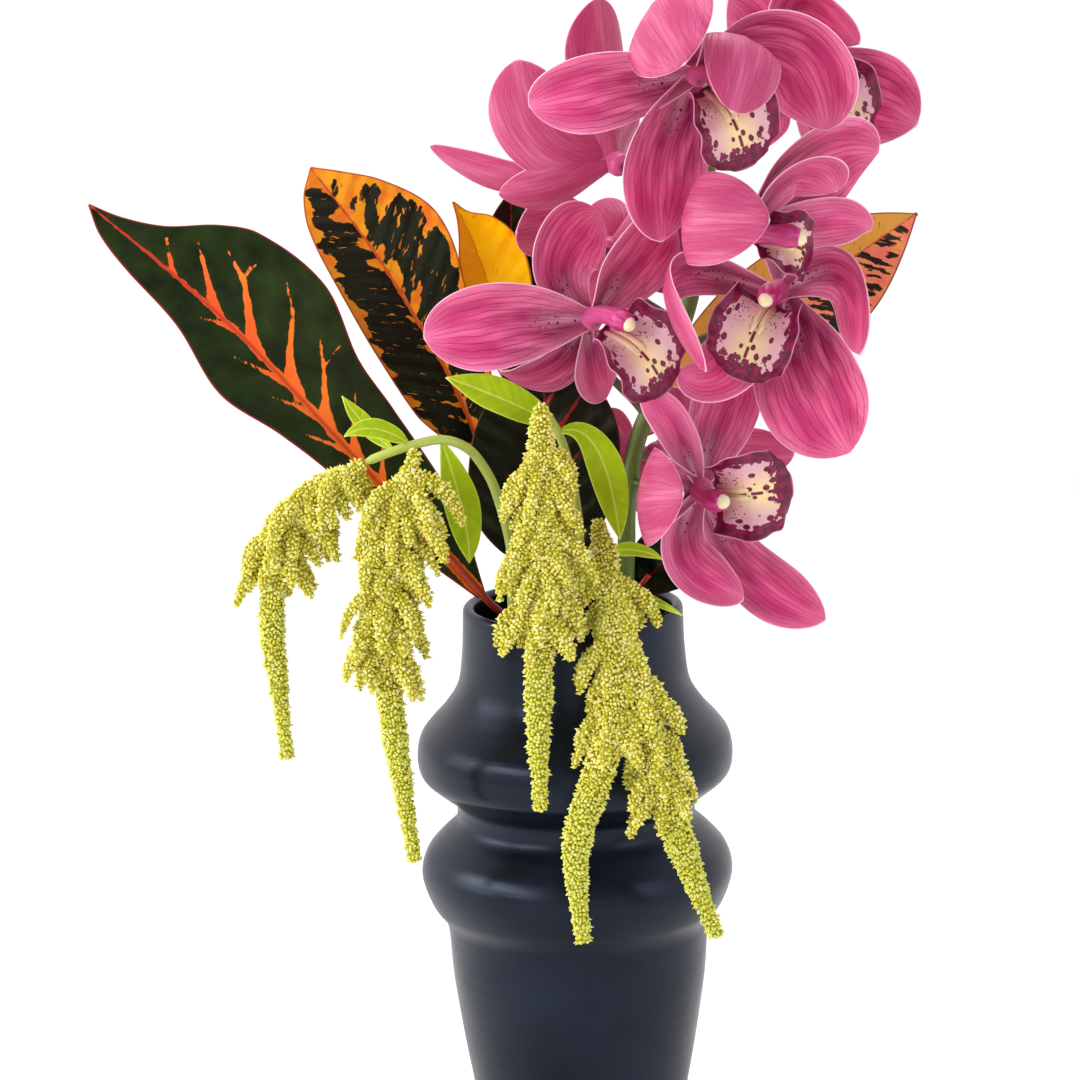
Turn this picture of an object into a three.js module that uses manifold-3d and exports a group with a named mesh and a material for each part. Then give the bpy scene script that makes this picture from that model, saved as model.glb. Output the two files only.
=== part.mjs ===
// An arrangement of pink boat orchids, croton leaves and hanging green amaranth
// in a waisted black vase. Millimetres, +Z up, origin at the middle of the vase's foot,
// +X to the viewer's right and -Y towards the viewer.
import * as THREE from 'three';
import { mergeVertices } from 'three/addons/utils/BufferGeometryUtils.js';
import Module from 'manifold-3d';

const wasm = await Module();
wasm.setup();

// ---------------------------------------------------------------- driving dimensions

const CLEAR = 0.3; // gap kept between pieces that touch
const VASE_HEIGHT = 215;
const VASE_WALL = 4.5;
const VASE_FLOOR = 6;
const WATER_LEVEL = 118;
const VASE_SIDES = 24;

// Outer outline of the vase from foot to lip: [height, radius].
const VASE_OUTLINE = [
  [0, 37.5], [1.5, 38.8], [41, 45.5], [66, 49.2], [83, 50.5], [90, 52], [97, 57], [108, 60.6],
  [117, 58.5], [124, 52.5], [128.8, 47.4], [133, 46.2], [138, 47.4], [143, 53.8], [148.5, 59.8],
  [155.5, 61.3], [163, 60], [168.5, 56.2], [175, 50.4], [184, 45], [197, 43.1], [211, 42.5],
];
const RIM_ROUNDING = 2.2;

const TEPAL_THICKNESS = 1.2;
const LIP_THICKNESS = 1.2;
const LEAF_THICKNESS = 1.1;
const SMALL_LEAF_THICKNESS = 0.9;

const HEART_RADIUS = 4.6; // the knob where the parts of one flower meet
const HEART_DEPTH = 7;
const HEART_FRONT = 3;
const PETAL_LAYER = 0; // how far in front of the heart the two petals start
const SEPAL_LAYER = -3; // the three sepals start behind them
const COLUMN_LENGTH = 25;
const PEDICEL_RADIUS = 1.9;
const LIP_REACH = 25;
const LIP_DROP = 31;
const LIP_WIDTH = 37;

const FLORET_PITCH = 7.4; // spacing of the bead rings on a tassel
const FLORET_RELIEF = 0.15;

const MATERIALS = {
  ceramic: new THREE.MeshStandardMaterial({ color: '#1e2128', roughness: 0.42, metalness: 0 }),
  water: new THREE.MeshStandardMaterial({ color: '#b9c8c4', roughness: 0.1, metalness: 0 }),
  petal: new THREE.MeshStandardMaterial({ color: '#c8407e', roughness: 0.5, metalness: 0 }),
  lip: new THREE.MeshStandardMaterial({ color: '#8a2550', roughness: 0.5, metalness: 0 }),
  spike: new THREE.MeshStandardMaterial({ color: '#4e7a3e', roughness: 0.55, metalness: 0 }),
  bark: new THREE.MeshStandardMaterial({ color: '#4a4a32', roughness: 0.7, metalness: 0 }),
  darkLeaf: new THREE.MeshStandardMaterial({ color: '#26342a', roughness: 0.4, metalness: 0 }),
  mottledLeaf: new THREE.MeshStandardMaterial({ color: '#4a3220', roughness: 0.4, metalness: 0 }),
  yellowLeaf: new THREE.MeshStandardMaterial({ color: '#e0a810', roughness: 0.4, metalness: 0 }),
  salmonLeaf: new THREE.MeshStandardMaterial({ color: '#e07850', roughness: 0.4, metalness: 0 }),
  amaranthStem: new THREE.MeshStandardMaterial({ color: '#a8c038', roughness: 0.5, metalness: 0 }),
  florets: new THREE.MeshStandardMaterial({ color: '#d0d868', roughness: 0.8, metalness: 0 }),
};

// ---------------------------------------------------------------- shape helpers

const vector = ([x, y, z]) => new THREE.Vector3(x, y, z);
const radians = (degrees) => (degrees * Math.PI) / 180;
const arrangement = new THREE.Group();

/** A solid from a flat list of coordinates and a flat list of triangle corners. */
function solid(positions, triangles) {
  const mesh = new wasm.Mesh({
    numProp: 3,
    vertProperties: new Float32Array(positions),
    triVerts: new Uint32Array(triangles),
  });
  return new wasm.Manifold(mesh);
}

/** One solid from several that overlap. */
function joined(solids) {
  return solids.reduce((whole, piece) => whole.add(piece));
}

/** Adds a solid to the arrangement as a named mesh. */
function place(name, body, material) {
  const { vertProperties, triVerts } = body.getMesh();
  const geometry = new THREE.BufferGeometry();
  geometry.setAttribute('position', new THREE.BufferAttribute(vertProperties, 3));
  geometry.setIndex(new THREE.BufferAttribute(triVerts, 1));
  const mesh = new THREE.Mesh(geometry, material);
  mesh.name = name;
  arrangement.add(mesh);
}

/** A body turned about the vase's axis from an outline of [radius, height] points. */
function turned(outline, sides) {
  const points = outline.map(([radius, height]) => new THREE.Vector2(radius, height));
  const geometry = new THREE.LatheGeometry(points, sides).rotateX(Math.PI / 2);
  geometry.deleteAttribute('normal');
  geometry.deleteAttribute('uv');
  const merged = mergeVertices(geometry, 1e-3);
  return solid(merged.attributes.position.array, merged.index.array);
}

/** A smooth curve through the points: a parabola through three, a spline through more. */
function curveThrough(points) {
  const stations = points.map((point) => (point.isVector3 ? point : vector(point)));
  if (stations.length !== 3) {
    return new THREE.CatmullRomCurve3(stations, false, 'catmullrom', 0.5);
  }
  const [start, middle, end] = stations;
  const control = middle.clone().multiplyScalar(2).sub(start.clone().add(end).multiplyScalar(0.5));
  return new THREE.QuadraticBezierCurve3(start, control, end);
}

/** Evenly spaced frames along a curve whose normals start at `facing` and never spin. */
function framesAlong(curve, steps, facing) {
  const spots = curve.getSpacedPoints(steps);
  const normal = facing.clone();
  return spots.map((spot, i) => {
    const before = spots[Math.max(i - 1, 0)];
    const after = spots[Math.min(i + 1, steps)];
    const tangent = after.clone().sub(before).normalize();
    normal.addScaledVector(tangent, -normal.dot(tangent)).normalize();
    const across = normal.clone().cross(tangent);
    return { spot, tangent, normal: normal.clone(), across };
  });
}

/** A round tube along a curve; radiusAt(u, ring, side) gives its radius. */
function tube(points, radiusAt, sides, rings) {
  const curve = curveThrough(points);
  const tangent = curve.getTangent(0);
  const upright = Math.abs(tangent.z) > 0.9;
  const facing = upright ? new THREE.Vector3(0, -1, 0) : new THREE.Vector3(0, 0, 1);
  const positions = [];
  const triangles = [];
  framesAlong(curve, rings, facing).forEach((frame, ring) => {
    for (let side = 0; side < sides; side += 1) {
      const turn = (2 * Math.PI * side) / sides;
      const radius = radiusAt(ring / rings, ring, side);
      const point = frame.spot.clone()
        .addScaledVector(frame.across, radius * Math.cos(turn))
        .addScaledVector(frame.normal, radius * Math.sin(turn));
      positions.push(point.x, point.y, point.z);
    }
  });
  for (let ring = 0; ring < rings; ring += 1) {
    for (let side = 0; side < sides; side += 1) {
      const next = (side + 1) % sides;
      const [a, b] = [ring * sides + side, ring * sides + next];
      triangles.push(a, b, a + sides, b, b + sides, a + sides);
    }
  }
  for (let side = 1; side < sides - 1; side += 1) {
    const top = rings * sides;
    triangles.push(0, side + 1, side, top, top + side, top + side + 1);
  }
  return solid(positions, triangles);
}

/**
 * Width of a blade along its length as a share of its greatest: it swells from its claw to the
 * widest place and closes to a short point, the more gradually the greater `taper` is.
 */
function petalOutline(claw, widest, taper) {
  return (u) => {
    if (u < widest) return claw + (1 - claw) * Math.sin((Math.PI / 2) * (u / widest));
    const beyond = (u - widest) / (1 - widest);
    return Math.max(0.05, (1 - Math.min(1, beyond) ** 2.2) ** taper);
  };
}

/** Value at u of a line that eases between [u, value] pairs. */
function easedThrough(pairs) {
  return (u) => {
    const next = Math.max(1, pairs.findIndex(([at]) => at >= u));
    const [[fromU, from], [toU, to]] = [pairs[next - 1], pairs[next]];
    const share = Math.min(1, Math.max(0, (u - fromU) / (toU - fromU)));
    return from + ((to - from) * (1 - Math.cos(Math.PI * share))) / 2;
  };
}

/** Value at u of a smooth line through [u, value] pairs. */
function smoothThrough(pairs) {
  const slopes = pairs.map((_, i) => {
    const [before, after] = [pairs[Math.max(i - 1, 0)], pairs[Math.min(i + 1, pairs.length - 1)]];
    return (after[1] - before[1]) / (after[0] - before[0]);
  });
  return (u) => {
    const next = Math.max(1, pairs.findIndex(([at]) => at >= u));
    const [[fromU, from], [toU, to]] = [pairs[next - 1], pairs[next]];
    const span = toU - fromU;
    const share = (u - fromU) / span;
    const rest = 1 - share;
    return (from * (1 + 2 * share) + slopes[next - 1] * span * share) * rest ** 2
      + (to * (1 + 2 * rest) - slopes[next] * span * rest) * share ** 2;
  };
}

/**
 * A thin closed blade along a curve. `outline` gives its share of width along its length, for the
 * side that v is on, and `cup` the turn of its edge, in degrees; `fold` is a fixed V along the midrib,
 * `wave` the height of the waves at its edges, `uneven` how much wider its first side is than the
 * second. Both faces are split into triangles alike.
 */
function blade({
  points, facing, width, outline, cup = () => 0, fold = 0, wave = 0, waves = 2,
  uneven = 0, thickness, along = 5, across = 4,
}) {
  const frames = framesAlong(curveThrough(points), along, facing);
  const grid = frames.map((frame, i) => {
    const u = i / along;
    const turn = radians(cup(u));
    return Array.from({ length: across + 1 }, (_, j) => {
      const v = (2 * j) / across - 1;
      const half = (width / 2) * outline(u, v) * (1 + uneven * Math.sign(v));
      const bent = Math.abs(turn) > 0.01;
      const side = bent ? (half * Math.sin(turn * v)) / turn : half * v;
      const lift = bent ? (half * (1 - Math.cos(turn * v))) / turn : 0;
      const ripple = wave * Math.sin(2 * Math.PI * waves * u + Math.sign(v)) * v * v * outline(u, v);
      const vee = Math.abs(side) * Math.sin(radians(fold));
      return frame.spot.clone()
        .addScaledVector(frame.across, side * Math.cos(radians(fold)))
        .addScaledVector(frame.normal, lift + vee + ripple);
    });
  });
  const faces = [[], []];
  grid.forEach((row, i) => row.forEach((point, j) => {
    const lengthwise = grid[Math.min(i + 1, along)][j].clone().sub(grid[Math.max(i - 1, 0)][j]);
    const crosswise = row[Math.min(j + 1, across)].clone().sub(row[Math.max(j - 1, 0)]);
    const normal = lengthwise.cross(crosswise).normalize();
    faces[0].push(point.clone().addScaledVector(normal, thickness / 2));
    faces[1].push(point.clone().addScaledVector(normal, -thickness / 2));
  }));
  const positions = faces.flat().flatMap((point) => [point.x, point.y, point.z]);
  const under = faces[0].length;
  const at = (i, j) => i * (across + 1) + j;
  const triangles = [];
  for (let i = 0; i < along; i += 1) {
    for (let j = 0; j < across; j += 1) {
      const [a, b, c, d] = [at(i, j), at(i + 1, j), at(i + 1, j + 1), at(i, j + 1)];
      triangles.push(a, b, c, a, c, d);
      triangles.push(under + a, under + c, under + b, under + a, under + d, under + c);
    }
  }
  const rim = [];
  for (let i = 0; i < along; i += 1) rim.push([at(i, 0), at(i + 1, 0)]);
  for (let j = 0; j < across; j += 1) rim.push([at(along, j), at(along, j + 1)]);
  for (let i = along; i > 0; i -= 1) rim.push([at(i, across), at(i - 1, across)]);
  for (let j = across; j > 0; j -= 1) rim.push([at(0, j), at(0, j - 1)]);
  rim.forEach(([a, b]) => triangles.push(a, under + a, under + b, a, under + b, b));
  return solid(positions, triangles);
}

// ---------------------------------------------------------------- vase

function vaseOutline() {
  const stations = VASE_OUTLINE.map(([height, radius]) => new THREE.Vector2(radius, height));
  const curve = new THREE.SplineCurve(stations);
  return curve.getPoints(VASE_OUTLINE.length - 1).map(({ x, y }) => [x, y]);
}

/** The inside of the wall from the floor upwards, as [radius, height] points. */
function innerOutline() {
  const wall = vaseOutline().filter(([, height], i) => height > VASE_FLOOR && i % 2 === 1);
  const floorRadius = VASE_OUTLINE[1][1] - VASE_WALL;
  return [[floorRadius, VASE_FLOOR], ...wall.map(([radius, height]) => [radius - VASE_WALL, height])];
}

function vase() {
  const outer = vaseOutline();
  const [rimRadius] = outer.at(-1);
  const rimMiddle = rimRadius - VASE_WALL / 2;
  const rim = [150, 90, 30].map((degrees) => [
    rimMiddle - RIM_ROUNDING * Math.cos(radians(degrees)),
    VASE_HEIGHT - RIM_ROUNDING + RIM_ROUNDING * Math.sin(radians(degrees)),
  ]);
  return turned([[0, 0], ...outer, ...rim, ...innerOutline().reverse(), [0, VASE_FLOOR]], VASE_SIDES);
}

/** The water inside the vase, clear of its wall, with a plain hole for each stem. */
function water(stemHoles) {
  const inset = 2 * CLEAR;
  const wall = innerOutline().filter(([, height]) => height < WATER_LEVEL);
  const inside = wall.map(([radius, height], i) => [radius - inset, i ? height : height + CLEAR]);
  const [, topHeight] = inside.at(-1);
  const outline = [[0, VASE_FLOOR + CLEAR], ...inside, [0, topHeight]];
  return stemHoles.reduce((left, hole) => left.subtract(hole), turned(outline, VASE_SIDES / 2));
}

// ---------------------------------------------------------------- stems

// Each stem stands on the floor of the vase and leaves through its mouth.
const FOOT = VASE_FLOOR + CLEAR + 0.2;
const STEMS = {
  orchid_spike: {
    material: MATERIALS.spike, radius: [4, 3], rings: 12,
    points: [[6, 10, FOOT], [13, 7, 100], [19, 1, 195], [21, 0, 233], [22, 1, 255], [26, 3, 278],
      [35, 4, 299], [47, 5, 332], [52, 6, 363], [56, 8, 398], [56, 8, 418]],
  },
  croton_stem: {
    material: MATERIALS.bark, radius: [4.5, 3.5], rings: 8,
    points: [[-10, 14, FOOT], [-12, 15, 100], [-8, 14, 200], [-5, 15, 252]],
  },
  amaranth_stem_1: {
    material: MATERIALS.amaranthStem, radius: [2.6, 1.7], rings: 14,
    points: [[-16, -8, FOOT], [-21, -15, 110], [-23, -18, 216], [-23, -22, 241], [-28, -26, 264],
      [-33, -30, 276], [-39, -34, 284], [-48, -38, 288], [-58, -41, 287], [-69, -43, 284], [-77, -44, 281]],
  },
  amaranth_stem_2: {
    material: MATERIALS.amaranthStem, radius: [2.4, 1.6], rings: 12,
    points: [[2, -12, FOOT], [4, -20, 110], [2, -20, 216], [3, -20, 244], [1, -22, 266], [-3, -26, 284],
      [-8, -32, 295], [-10, -39, 298]],
  },
  amaranth_stem_3: {
    material: MATERIALS.amaranthStem, radius: [2.2, 1.6], rings: 13,
    points: [[16, -6, FOOT], [15, -16, 110], [11, -16, 215], [11, -20, 237], [10, -27, 250],
      [10, -34, 253]],
  },
};

function stemTube({ radius: [foot, tip], points, rings }) {
  return tube(points, (u) => foot + (tip - foot) * u, foot > 3 ? 8 : 6, rings);
}

/** The plain hole that a stem stands in, which runs on through the water's underside. */
function stemHole(stem) {
  const [[x, y, z], ...above] = stem.points;
  const radius = stem.radius.map((value) => value + 2 * CLEAR);
  return stemTube({ ...stem, radius, points: [[x, y, z - 2], ...above] });
}

/** The radius of a stem at a height. */
function stemRadiusAt({ radius: [foot, tip], points }, height) {
  return foot + ((tip - foot) * (height - FOOT)) / (points.at(-1)[2] - FOOT);
}

/** The point of a stem at a height, for what grows from it. */
function stemPointAt(stem, height) {
  const curve = curveThrough(stem.points);
  const steps = 400;
  const spots = curve.getPoints(steps);
  const away = (spot) => Math.abs(spot.z - height);
  return spots.reduce((best, spot) => (away(spot) < away(best) ? spot : best));
}

// ---------------------------------------------------------------- orchid flowers

/**
 * Each flower: the place of its heart, where it looks (yaw to the right, pitch up), the roll of
 * its crown to the left, the height at which its stalk leaves the spike, and for each tepal the
 * middle and the tip of its midline and its width.
 */
const FLOWERS = [
  {
    heart: [49, -40, 423], yaw: 25, pitch: -8, roll: 17, stalk: 385,
    tepals: [
      { middle: [33, -50, 450], tip: [43, -84, 432], width: 44, widest: 0.64 },
      { middle: [14, -52, 420], tip: [-13, -50, 414], width: 31 },
      { middle: [66, -60, 438], tip: [60, -80, 414], width: 32 },
      { middle: [35, -46, 391], tip: [35, -50, 363], width: 38 },
      { middle: [82, -38, 431], tip: [97, -36, 401], width: 40 },
    ],
  },
  {
    heart: [9, -22, 330], yaw: 35, pitch: 0, roll: 30, stalk: 288,
    tepals: [
      { middle: [-2, -20, 351], tip: [13, -8, 368], width: 30 },
      { middle: [-23, -34, 331], tip: [-54, -34, 326], width: 34 },
      { middle: [29, -22, 356], tip: [41, -10, 366], width: 33 },
      { middle: [-8, -10, 310], tip: [-26, -2, 307], width: 28 },
      { middle: [9, -12, 309], tip: [14, -6, 296], width: 20 },
    ],
  },
  {
    heart: [80, -13, 337], yaw: -16, pitch: 0, roll: -20, stalk: 312,
    tepals: [
      { middle: [88, 8, 350], tip: [98, 24, 360], width: 26 },
      { middle: [38, -33, 346.4], tip: [50, -70, 318], width: 23 },
      { middle: [104, -28, 345], tip: [108, -44, 318], width: 26 },
      { middle: [58, -26, 310], tip: [42, -24, 311], width: 26 },
      { middle: [91, -28, 304], tip: [105, -34, 279], width: 44 },
    ],
  },
  {
    heart: [65, -39, 363], yaw: 60, pitch: 0, roll: 60, stalk: 338,
    lipReach: 20, lipDrop: 20, lipWidth: 28,
    tepals: [
      { middle: [43, -65, 374], tip: [73, -84, 375], width: 36, widest: 0.6 },
      { middle: [57, -11, 355], tip: [52, -2, 347], width: 13 },
      { middle: [85, -38, 386], tip: [101, -26, 377], width: 26 },
      { middle: [101, -16, 364.5], tip: [115, -8, 359], width: 20 },
      { middle: [94, -20, 387], tip: [118, -10, 389], width: 42 },
    ],
  },
  {
    heart: [49, -32, 266], yaw: 20, pitch: 0, roll: 98, stalk: 262, lipDrop: 27,
    tepals: [
      { middle: [25, -56, 269], tip: [41, -78, 274], width: 38, widest: 0.6 },
      { middle: [42, -40, 242], tip: [64, -46, 226], width: 24 },
      { middle: [38, -34, 291], tip: [27, -30, 303], width: 16 },
      { middle: [67, -32, 233], tip: [95, -44, 217], width: 25, widest: 0.66 },
      { middle: [58, -14, 294], tip: [68, -2, 307], width: 30 },
    ],
  },
  {
    heart: [18, 4, 386], yaw: -140, pitch: 15, roll: 170, stalk: 358, back: true,
    tepals: [
      { middle: [15, 6, 420], tip: [13, 2, 448], width: 32 },
      { middle: [-7, -10, 398], tip: [-17, 4, 425], width: 33 },
      { middle: [-19, 7, 379], tip: [-51, 20, 391], width: 17 },
      { middle: [-6, -6, 377], tip: [-25, -2, 375], width: 20 },
      { middle: [24, 14, 393], tip: [29, 24, 400], width: 16 },
    ],
  },
  {
    heart: [17, 22, 350], yaw: 160, pitch: 0, roll: -70, stalk: 322, back: true,
    tepals: [
      { middle: [-1, 15, 358], tip: [-19, 6, 359], width: 29 },
      { middle: [16, 28, 359], tip: [11, 36, 365], width: 20 },
      { around: -70, width: 20, length: 36, back: 8 },
      { around: 130, width: 18, length: 34, back: 20 },
      { around: -130, width: 18, length: 34, back: 20 },
    ],
  },
  {
    heart: [87, 14, 419], yaw: 30, pitch: 0, roll: 25, stalk: 405, back: true,
    tepals: [
      { middle: [75, 18, 435], tip: [63, 16, 445], width: 34 },
      { middle: [77, 24, 402], tip: [76, 34, 385], width: 22 },
      { middle: [90, 10, 445], tip: [112, 6, 428], width: 30 },
      { middle: [97, 26, 398], tip: [104, 36, 384], width: 22 },
      { middle: [115, 12, 407], tip: [134, 6, 397], width: 38 },
    ],
  },
  {
    heart: [36, 20, 270], yaw: 144, pitch: 0, roll: -60, stalk: 252, back: true,
    lipReach: 20, lipDrop: 22, lipWidth: 26,
    tepals: [
      { middle: [19, 16, 268], tip: [9, 12, 288], width: 36 },
      { middle: [27, 24, 258], tip: [18, 24, 248], width: 20 },
      { middle: [41, 14, 284], tip: [38, 12, 297], width: 22 },
      { middle: [46, 16, 255], tip: [53, 14, 244], width: 18 },
      { middle: [62, 15, 269], tip: [87, 12, 270], width: 22 },
    ],
  },
];

const tepalCup = easedThrough([[0, 55], [0.35, 30], [1, 22]]);
const lipOutline = easedThrough([[0, 0.14], [0.32, 0.96], [0.5, 1], [0.78, 0.84], [1, 0.3]]);
const lipCup = easedThrough([[0, 20], [0.32, 78], [0.52, 44], [0.78, -4], [1, -24]]);

/** The directions of a flower: `front` out of its face, `crown` towards its top sepal. */
function flowerFrame({ heart, yaw, pitch, roll }) {
  const [turn, tilt, lean] = [yaw, pitch, roll].map(radians);
  const front = new THREE.Vector3(
    Math.sin(turn) * Math.cos(tilt), -Math.cos(turn) * Math.cos(tilt), Math.sin(tilt),
  );
  const upright = new THREE.Vector3(0, 0, 1);
  upright.addScaledVector(front, -front.z).normalize();
  const right = upright.clone().cross(front);
  const crown = upright.multiplyScalar(Math.cos(lean)).addScaledVector(right, -Math.sin(lean));
  const at = (forward, up) => vector(heart).addScaledVector(front, forward).addScaledVector(crown, up);
  return { front, crown, at };
}

/** Where a tepal that isn't set out by hand runs: `around` the crown, swept back from the face. */
function spreadTepal(frame, { around, length = 56, back = 12 }) {
  const side = frame.crown.clone().cross(frame.front).multiplyScalar(-1);
  const outward = frame.crown.clone().multiplyScalar(Math.cos(radians(around)))
    .addScaledVector(side, Math.sin(radians(around)));
  const reach = (share, angle) => frame.at(0, 0)
    .addScaledVector(outward, length * share * Math.cos(radians(angle)))
    .addScaledVector(frame.front, -length * share * Math.sin(radians(angle)));
  return [reach(0.52, back * 0.6), reach(1, back)];
}

function tepal(frame, shape, order, back) {
  const placed = shape.middle && [vector(shape.middle), vector(shape.tip)];
  const [middle, tip] = placed ?? spreadTepal(frame, shape);
  const start = frame.at(order === 1 || order === 2 ? PETAL_LAYER : SEPAL_LAYER, 0);
  start.addScaledVector(middle.clone().sub(start).normalize(), HEART_RADIUS * 0.5);
  return blade({
    points: [start, middle, tip], facing: shape.facing ? vector(shape.facing) : frame.front,
    width: shape.width, outline: petalOutline(0.28, shape.widest ?? 0.6, 0.62), cup: tepalCup,
    thickness: TEPAL_THICKNESS, along: back ? 3 : 4, across: back ? 2 : 3,
  });
}

function flower(spec) {
  const frame = flowerFrame(spec);
  const { at } = frame;
  const heart = tube([at(-HEART_DEPTH, 0), at(-2, 0), at(HEART_FRONT, 0)], () => HEART_RADIUS, 6, 2);
  const columnRadius = easedThrough([[0, 4], [0.5, 3.6], [0.85, 4.8], [1, 2.6]]);
  const column = tube([at(0, 0.5), at(COLUMN_LENGTH / 2, 3.5), at(COLUMN_LENGTH, 1)], columnRadius, 6, 3);
  const tepals = spec.tepals.map((shape, order) => tepal(frame, shape, order, spec.back));
  return joined([heart, column, ...tepals]);
}

function lip(spec) {
  const { crown, at } = flowerFrame(spec);
  const reach = spec.lipReach ?? LIP_REACH;
  const drop = spec.lipDrop ?? LIP_DROP;
  const root = at(HEART_FRONT + 1.5 * CLEAR, -HEART_RADIUS);
  return blade({
    points: [root, at(reach * 0.9, -0.38 * drop), at(reach, -drop)],
    facing: crown, width: spec.lipWidth ?? LIP_WIDTH, outline: lipOutline, cup: lipCup, wave: 1.2, waves: 3,
    thickness: LIP_THICKNESS, along: spec.back ? 5 : 6, across: spec.back ? 3 : 4,
  });
}

/** The stalk of a flower, from the spike to just behind the flower's heart. */
function pedicel(spec) {
  const { at } = flowerFrame(spec);
  const root = stemPointAt(STEMS.orchid_spike, spec.stalk);
  const end = at(-HEART_DEPTH - 1.5 * CLEAR, 0);
  const elbow = at(-HEART_DEPTH - 12, 0);
  const middle = root.clone().lerp(elbow, 0.6).add(new THREE.Vector3(0, 0, -3));
  return tube([root, middle, elbow, end], () => PEDICEL_RADIUS, 4, 5);
}

// ---------------------------------------------------------------- croton leaves

/**
 * Each leaf: the height at which its petiole leaves the stem, where its upper face looks, its
 * greatest width, and either its outline's widest place and taper or its two half widths along its
 * length, the right one first.
 */
const CROTON_LEAVES = [
  {
    material: MATERIALS.darkLeaf, stalk: 186, facing: [0.1, -0.9, 0.4], width: 68, fold: 8,
    halves: [
      [[0, 2], [0.14, 15], [0.36, 23.5], [0.47, 26.5], [0.6, 36], [0.74, 33.5], [0.8, 26],
        [0.87, 12.5], [0.94, 4.5], [1, 0.6]],
      [[0, 2], [0.14, 8], [0.36, 12], [0.46, 16], [0.59, 22.5], [0.74, 14.5], [0.87, 10.8],
        [0.95, 6.5], [1, 0.6]],
    ],
    petiole: [[-22, 0, 206], [-33, -8, 219], [-54, -12, 245]],
    points: [[-35, -9, 221], [-84, -11, 279], [-130, -4, 329], [-181, 6, 373]],
  },
  {
    material: MATERIALS.mottledLeaf, stalk: 214, facing: [0, -1, 0.2], width: 54, fold: 14,
    halves: [
      [[0, 2], [0.18, 14], [0.43, 22.5], [0.69, 29.5], [0.86, 19], [0.95, 8], [1, 0.6]],
      [[0, 3], [0.1, 13], [0.2, 19], [0.43, 21], [0.69, 19.5], [0.86, 15.5], [0.95, 9], [1, 0.6]],
    ],
    petiole: [[-18, 16, 230], [-27, 17, 252], [-36, 18, 276]],
    points: [[-33, 18, 270], [-44, 19, 298], [-59, 20, 326], [-75, 14, 354], [-96, 2, 386]],
  },
  {
    material: MATERIALS.yellowLeaf, stalk: 236, facing: [0.3, -0.9, 0.1],
    width: 34, fold: 24,
    halves: [
      [[0, 2], [0.3, 11], [0.55, 16], [0.75, 17], [0.87, 11], [0.93, 3.5], [1, 0.6]],
      [[0, 2], [0.3, 10], [0.55, 12], [0.75, 10], [0.87, 5], [0.93, 2.5], [1, 0.6]],
    ],
    petiole: [[-8, 22, 252], [-12, 27, 272], [-20, 31, 300]],
    points: [[-16, 30, 284], [-31, 33, 338], [-43, 28, 368]],
  },
  {
    material: MATERIALS.darkLeaf, stalk: 248, facing: [0, -1, 0.1],
    width: 27, widest: 0.6, taper: 1, fold: 12,
    petiole: [[-1, 22, 262], [-5, 30, 280], [-10, 36, 300]],
    points: [[-7, 33, 286], [-19, 42, 330], [-20, 40, 371]],
  },
  {
    material: MATERIALS.salmonLeaf, stalk: 226, facing: [-0.2, -0.9, 0.3],
    width: 48, widest: 0.6, taper: 1, fold: 12, uneven: -0.12,
    petiole: [[6, 24, 244], [16, 31, 260], [32, 39, 280]],
    points: [[24, 36, 272], [60, 48, 302], [100, 50, 331], [137, 42, 358]],
  },
  {
    material: MATERIALS.darkLeaf, stalk: 205, facing: [0, -1, 0.1],
    width: 60, fold: 8,
    halves: [
      [[0, 3], [0.15, 15], [0.4, 25], [0.6, 27], [0.8, 20], [0.93, 9], [1, 0.6]],
      [[0, 3], [0.12, 22], [0.3, 32], [0.6, 30], [0.8, 20], [0.93, 9], [1, 0.6]],
    ],
    petiole: [[-7, 4, 218], [-7, 0, 232], [-7, 0, 246]],
    points: [[-6, 2, 226], [-7, 3, 268], [-12, 14, 316]],
  },
  {
    material: MATERIALS.darkLeaf, stalk: 190, facing: [0, -1, 0.3],
    width: 26, widest: 0.55, taper: 1, fold: 12,
    petiole: [[8, 11, 204], [20, 9, 212], [30, 7, 224]],
    points: [[24, 8, 216], [36, 6, 230], [48, 3, 242]],
  },
];
const CROTON_PETIOLE_RADIUS = 1.8;

function crotonLeaf({ stalk, width, widest, taper, halves, facing, fold, uneven, petiole, points }) {
  const [right, left] = (halves ?? []).map(smoothThrough);
  const outline = halves
    ? (u, v) => (v < 0 ? right(u) : left(u)) / (width / 2)
    : petalOutline(0.1, widest, taper);
  const root = stemPointAt(STEMS.croton_stem, stalk);
  const outward = vector(petiole[0]).sub(root).normalize();
  const rise = Math.abs(outward.z);
  outward.setZ(0).normalize();
  const offset = stemRadiusAt(STEMS.croton_stem, stalk) + CLEAR + CROTON_PETIOLE_RADIUS * rise;
  root.addScaledVector(outward, offset);
  return joined([
    tube([root, ...petiole], () => CROTON_PETIOLE_RADIUS, 4, 5),
    blade({
      points, facing: vector(facing), width, outline, fold, uneven,
      wave: 1.5, waves: 2, thickness: LEAF_THICKNESS, along: halves ? 11 : 5, across: 4,
    }),
  ]);
}

// ---------------------------------------------------------------- amaranth

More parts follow.
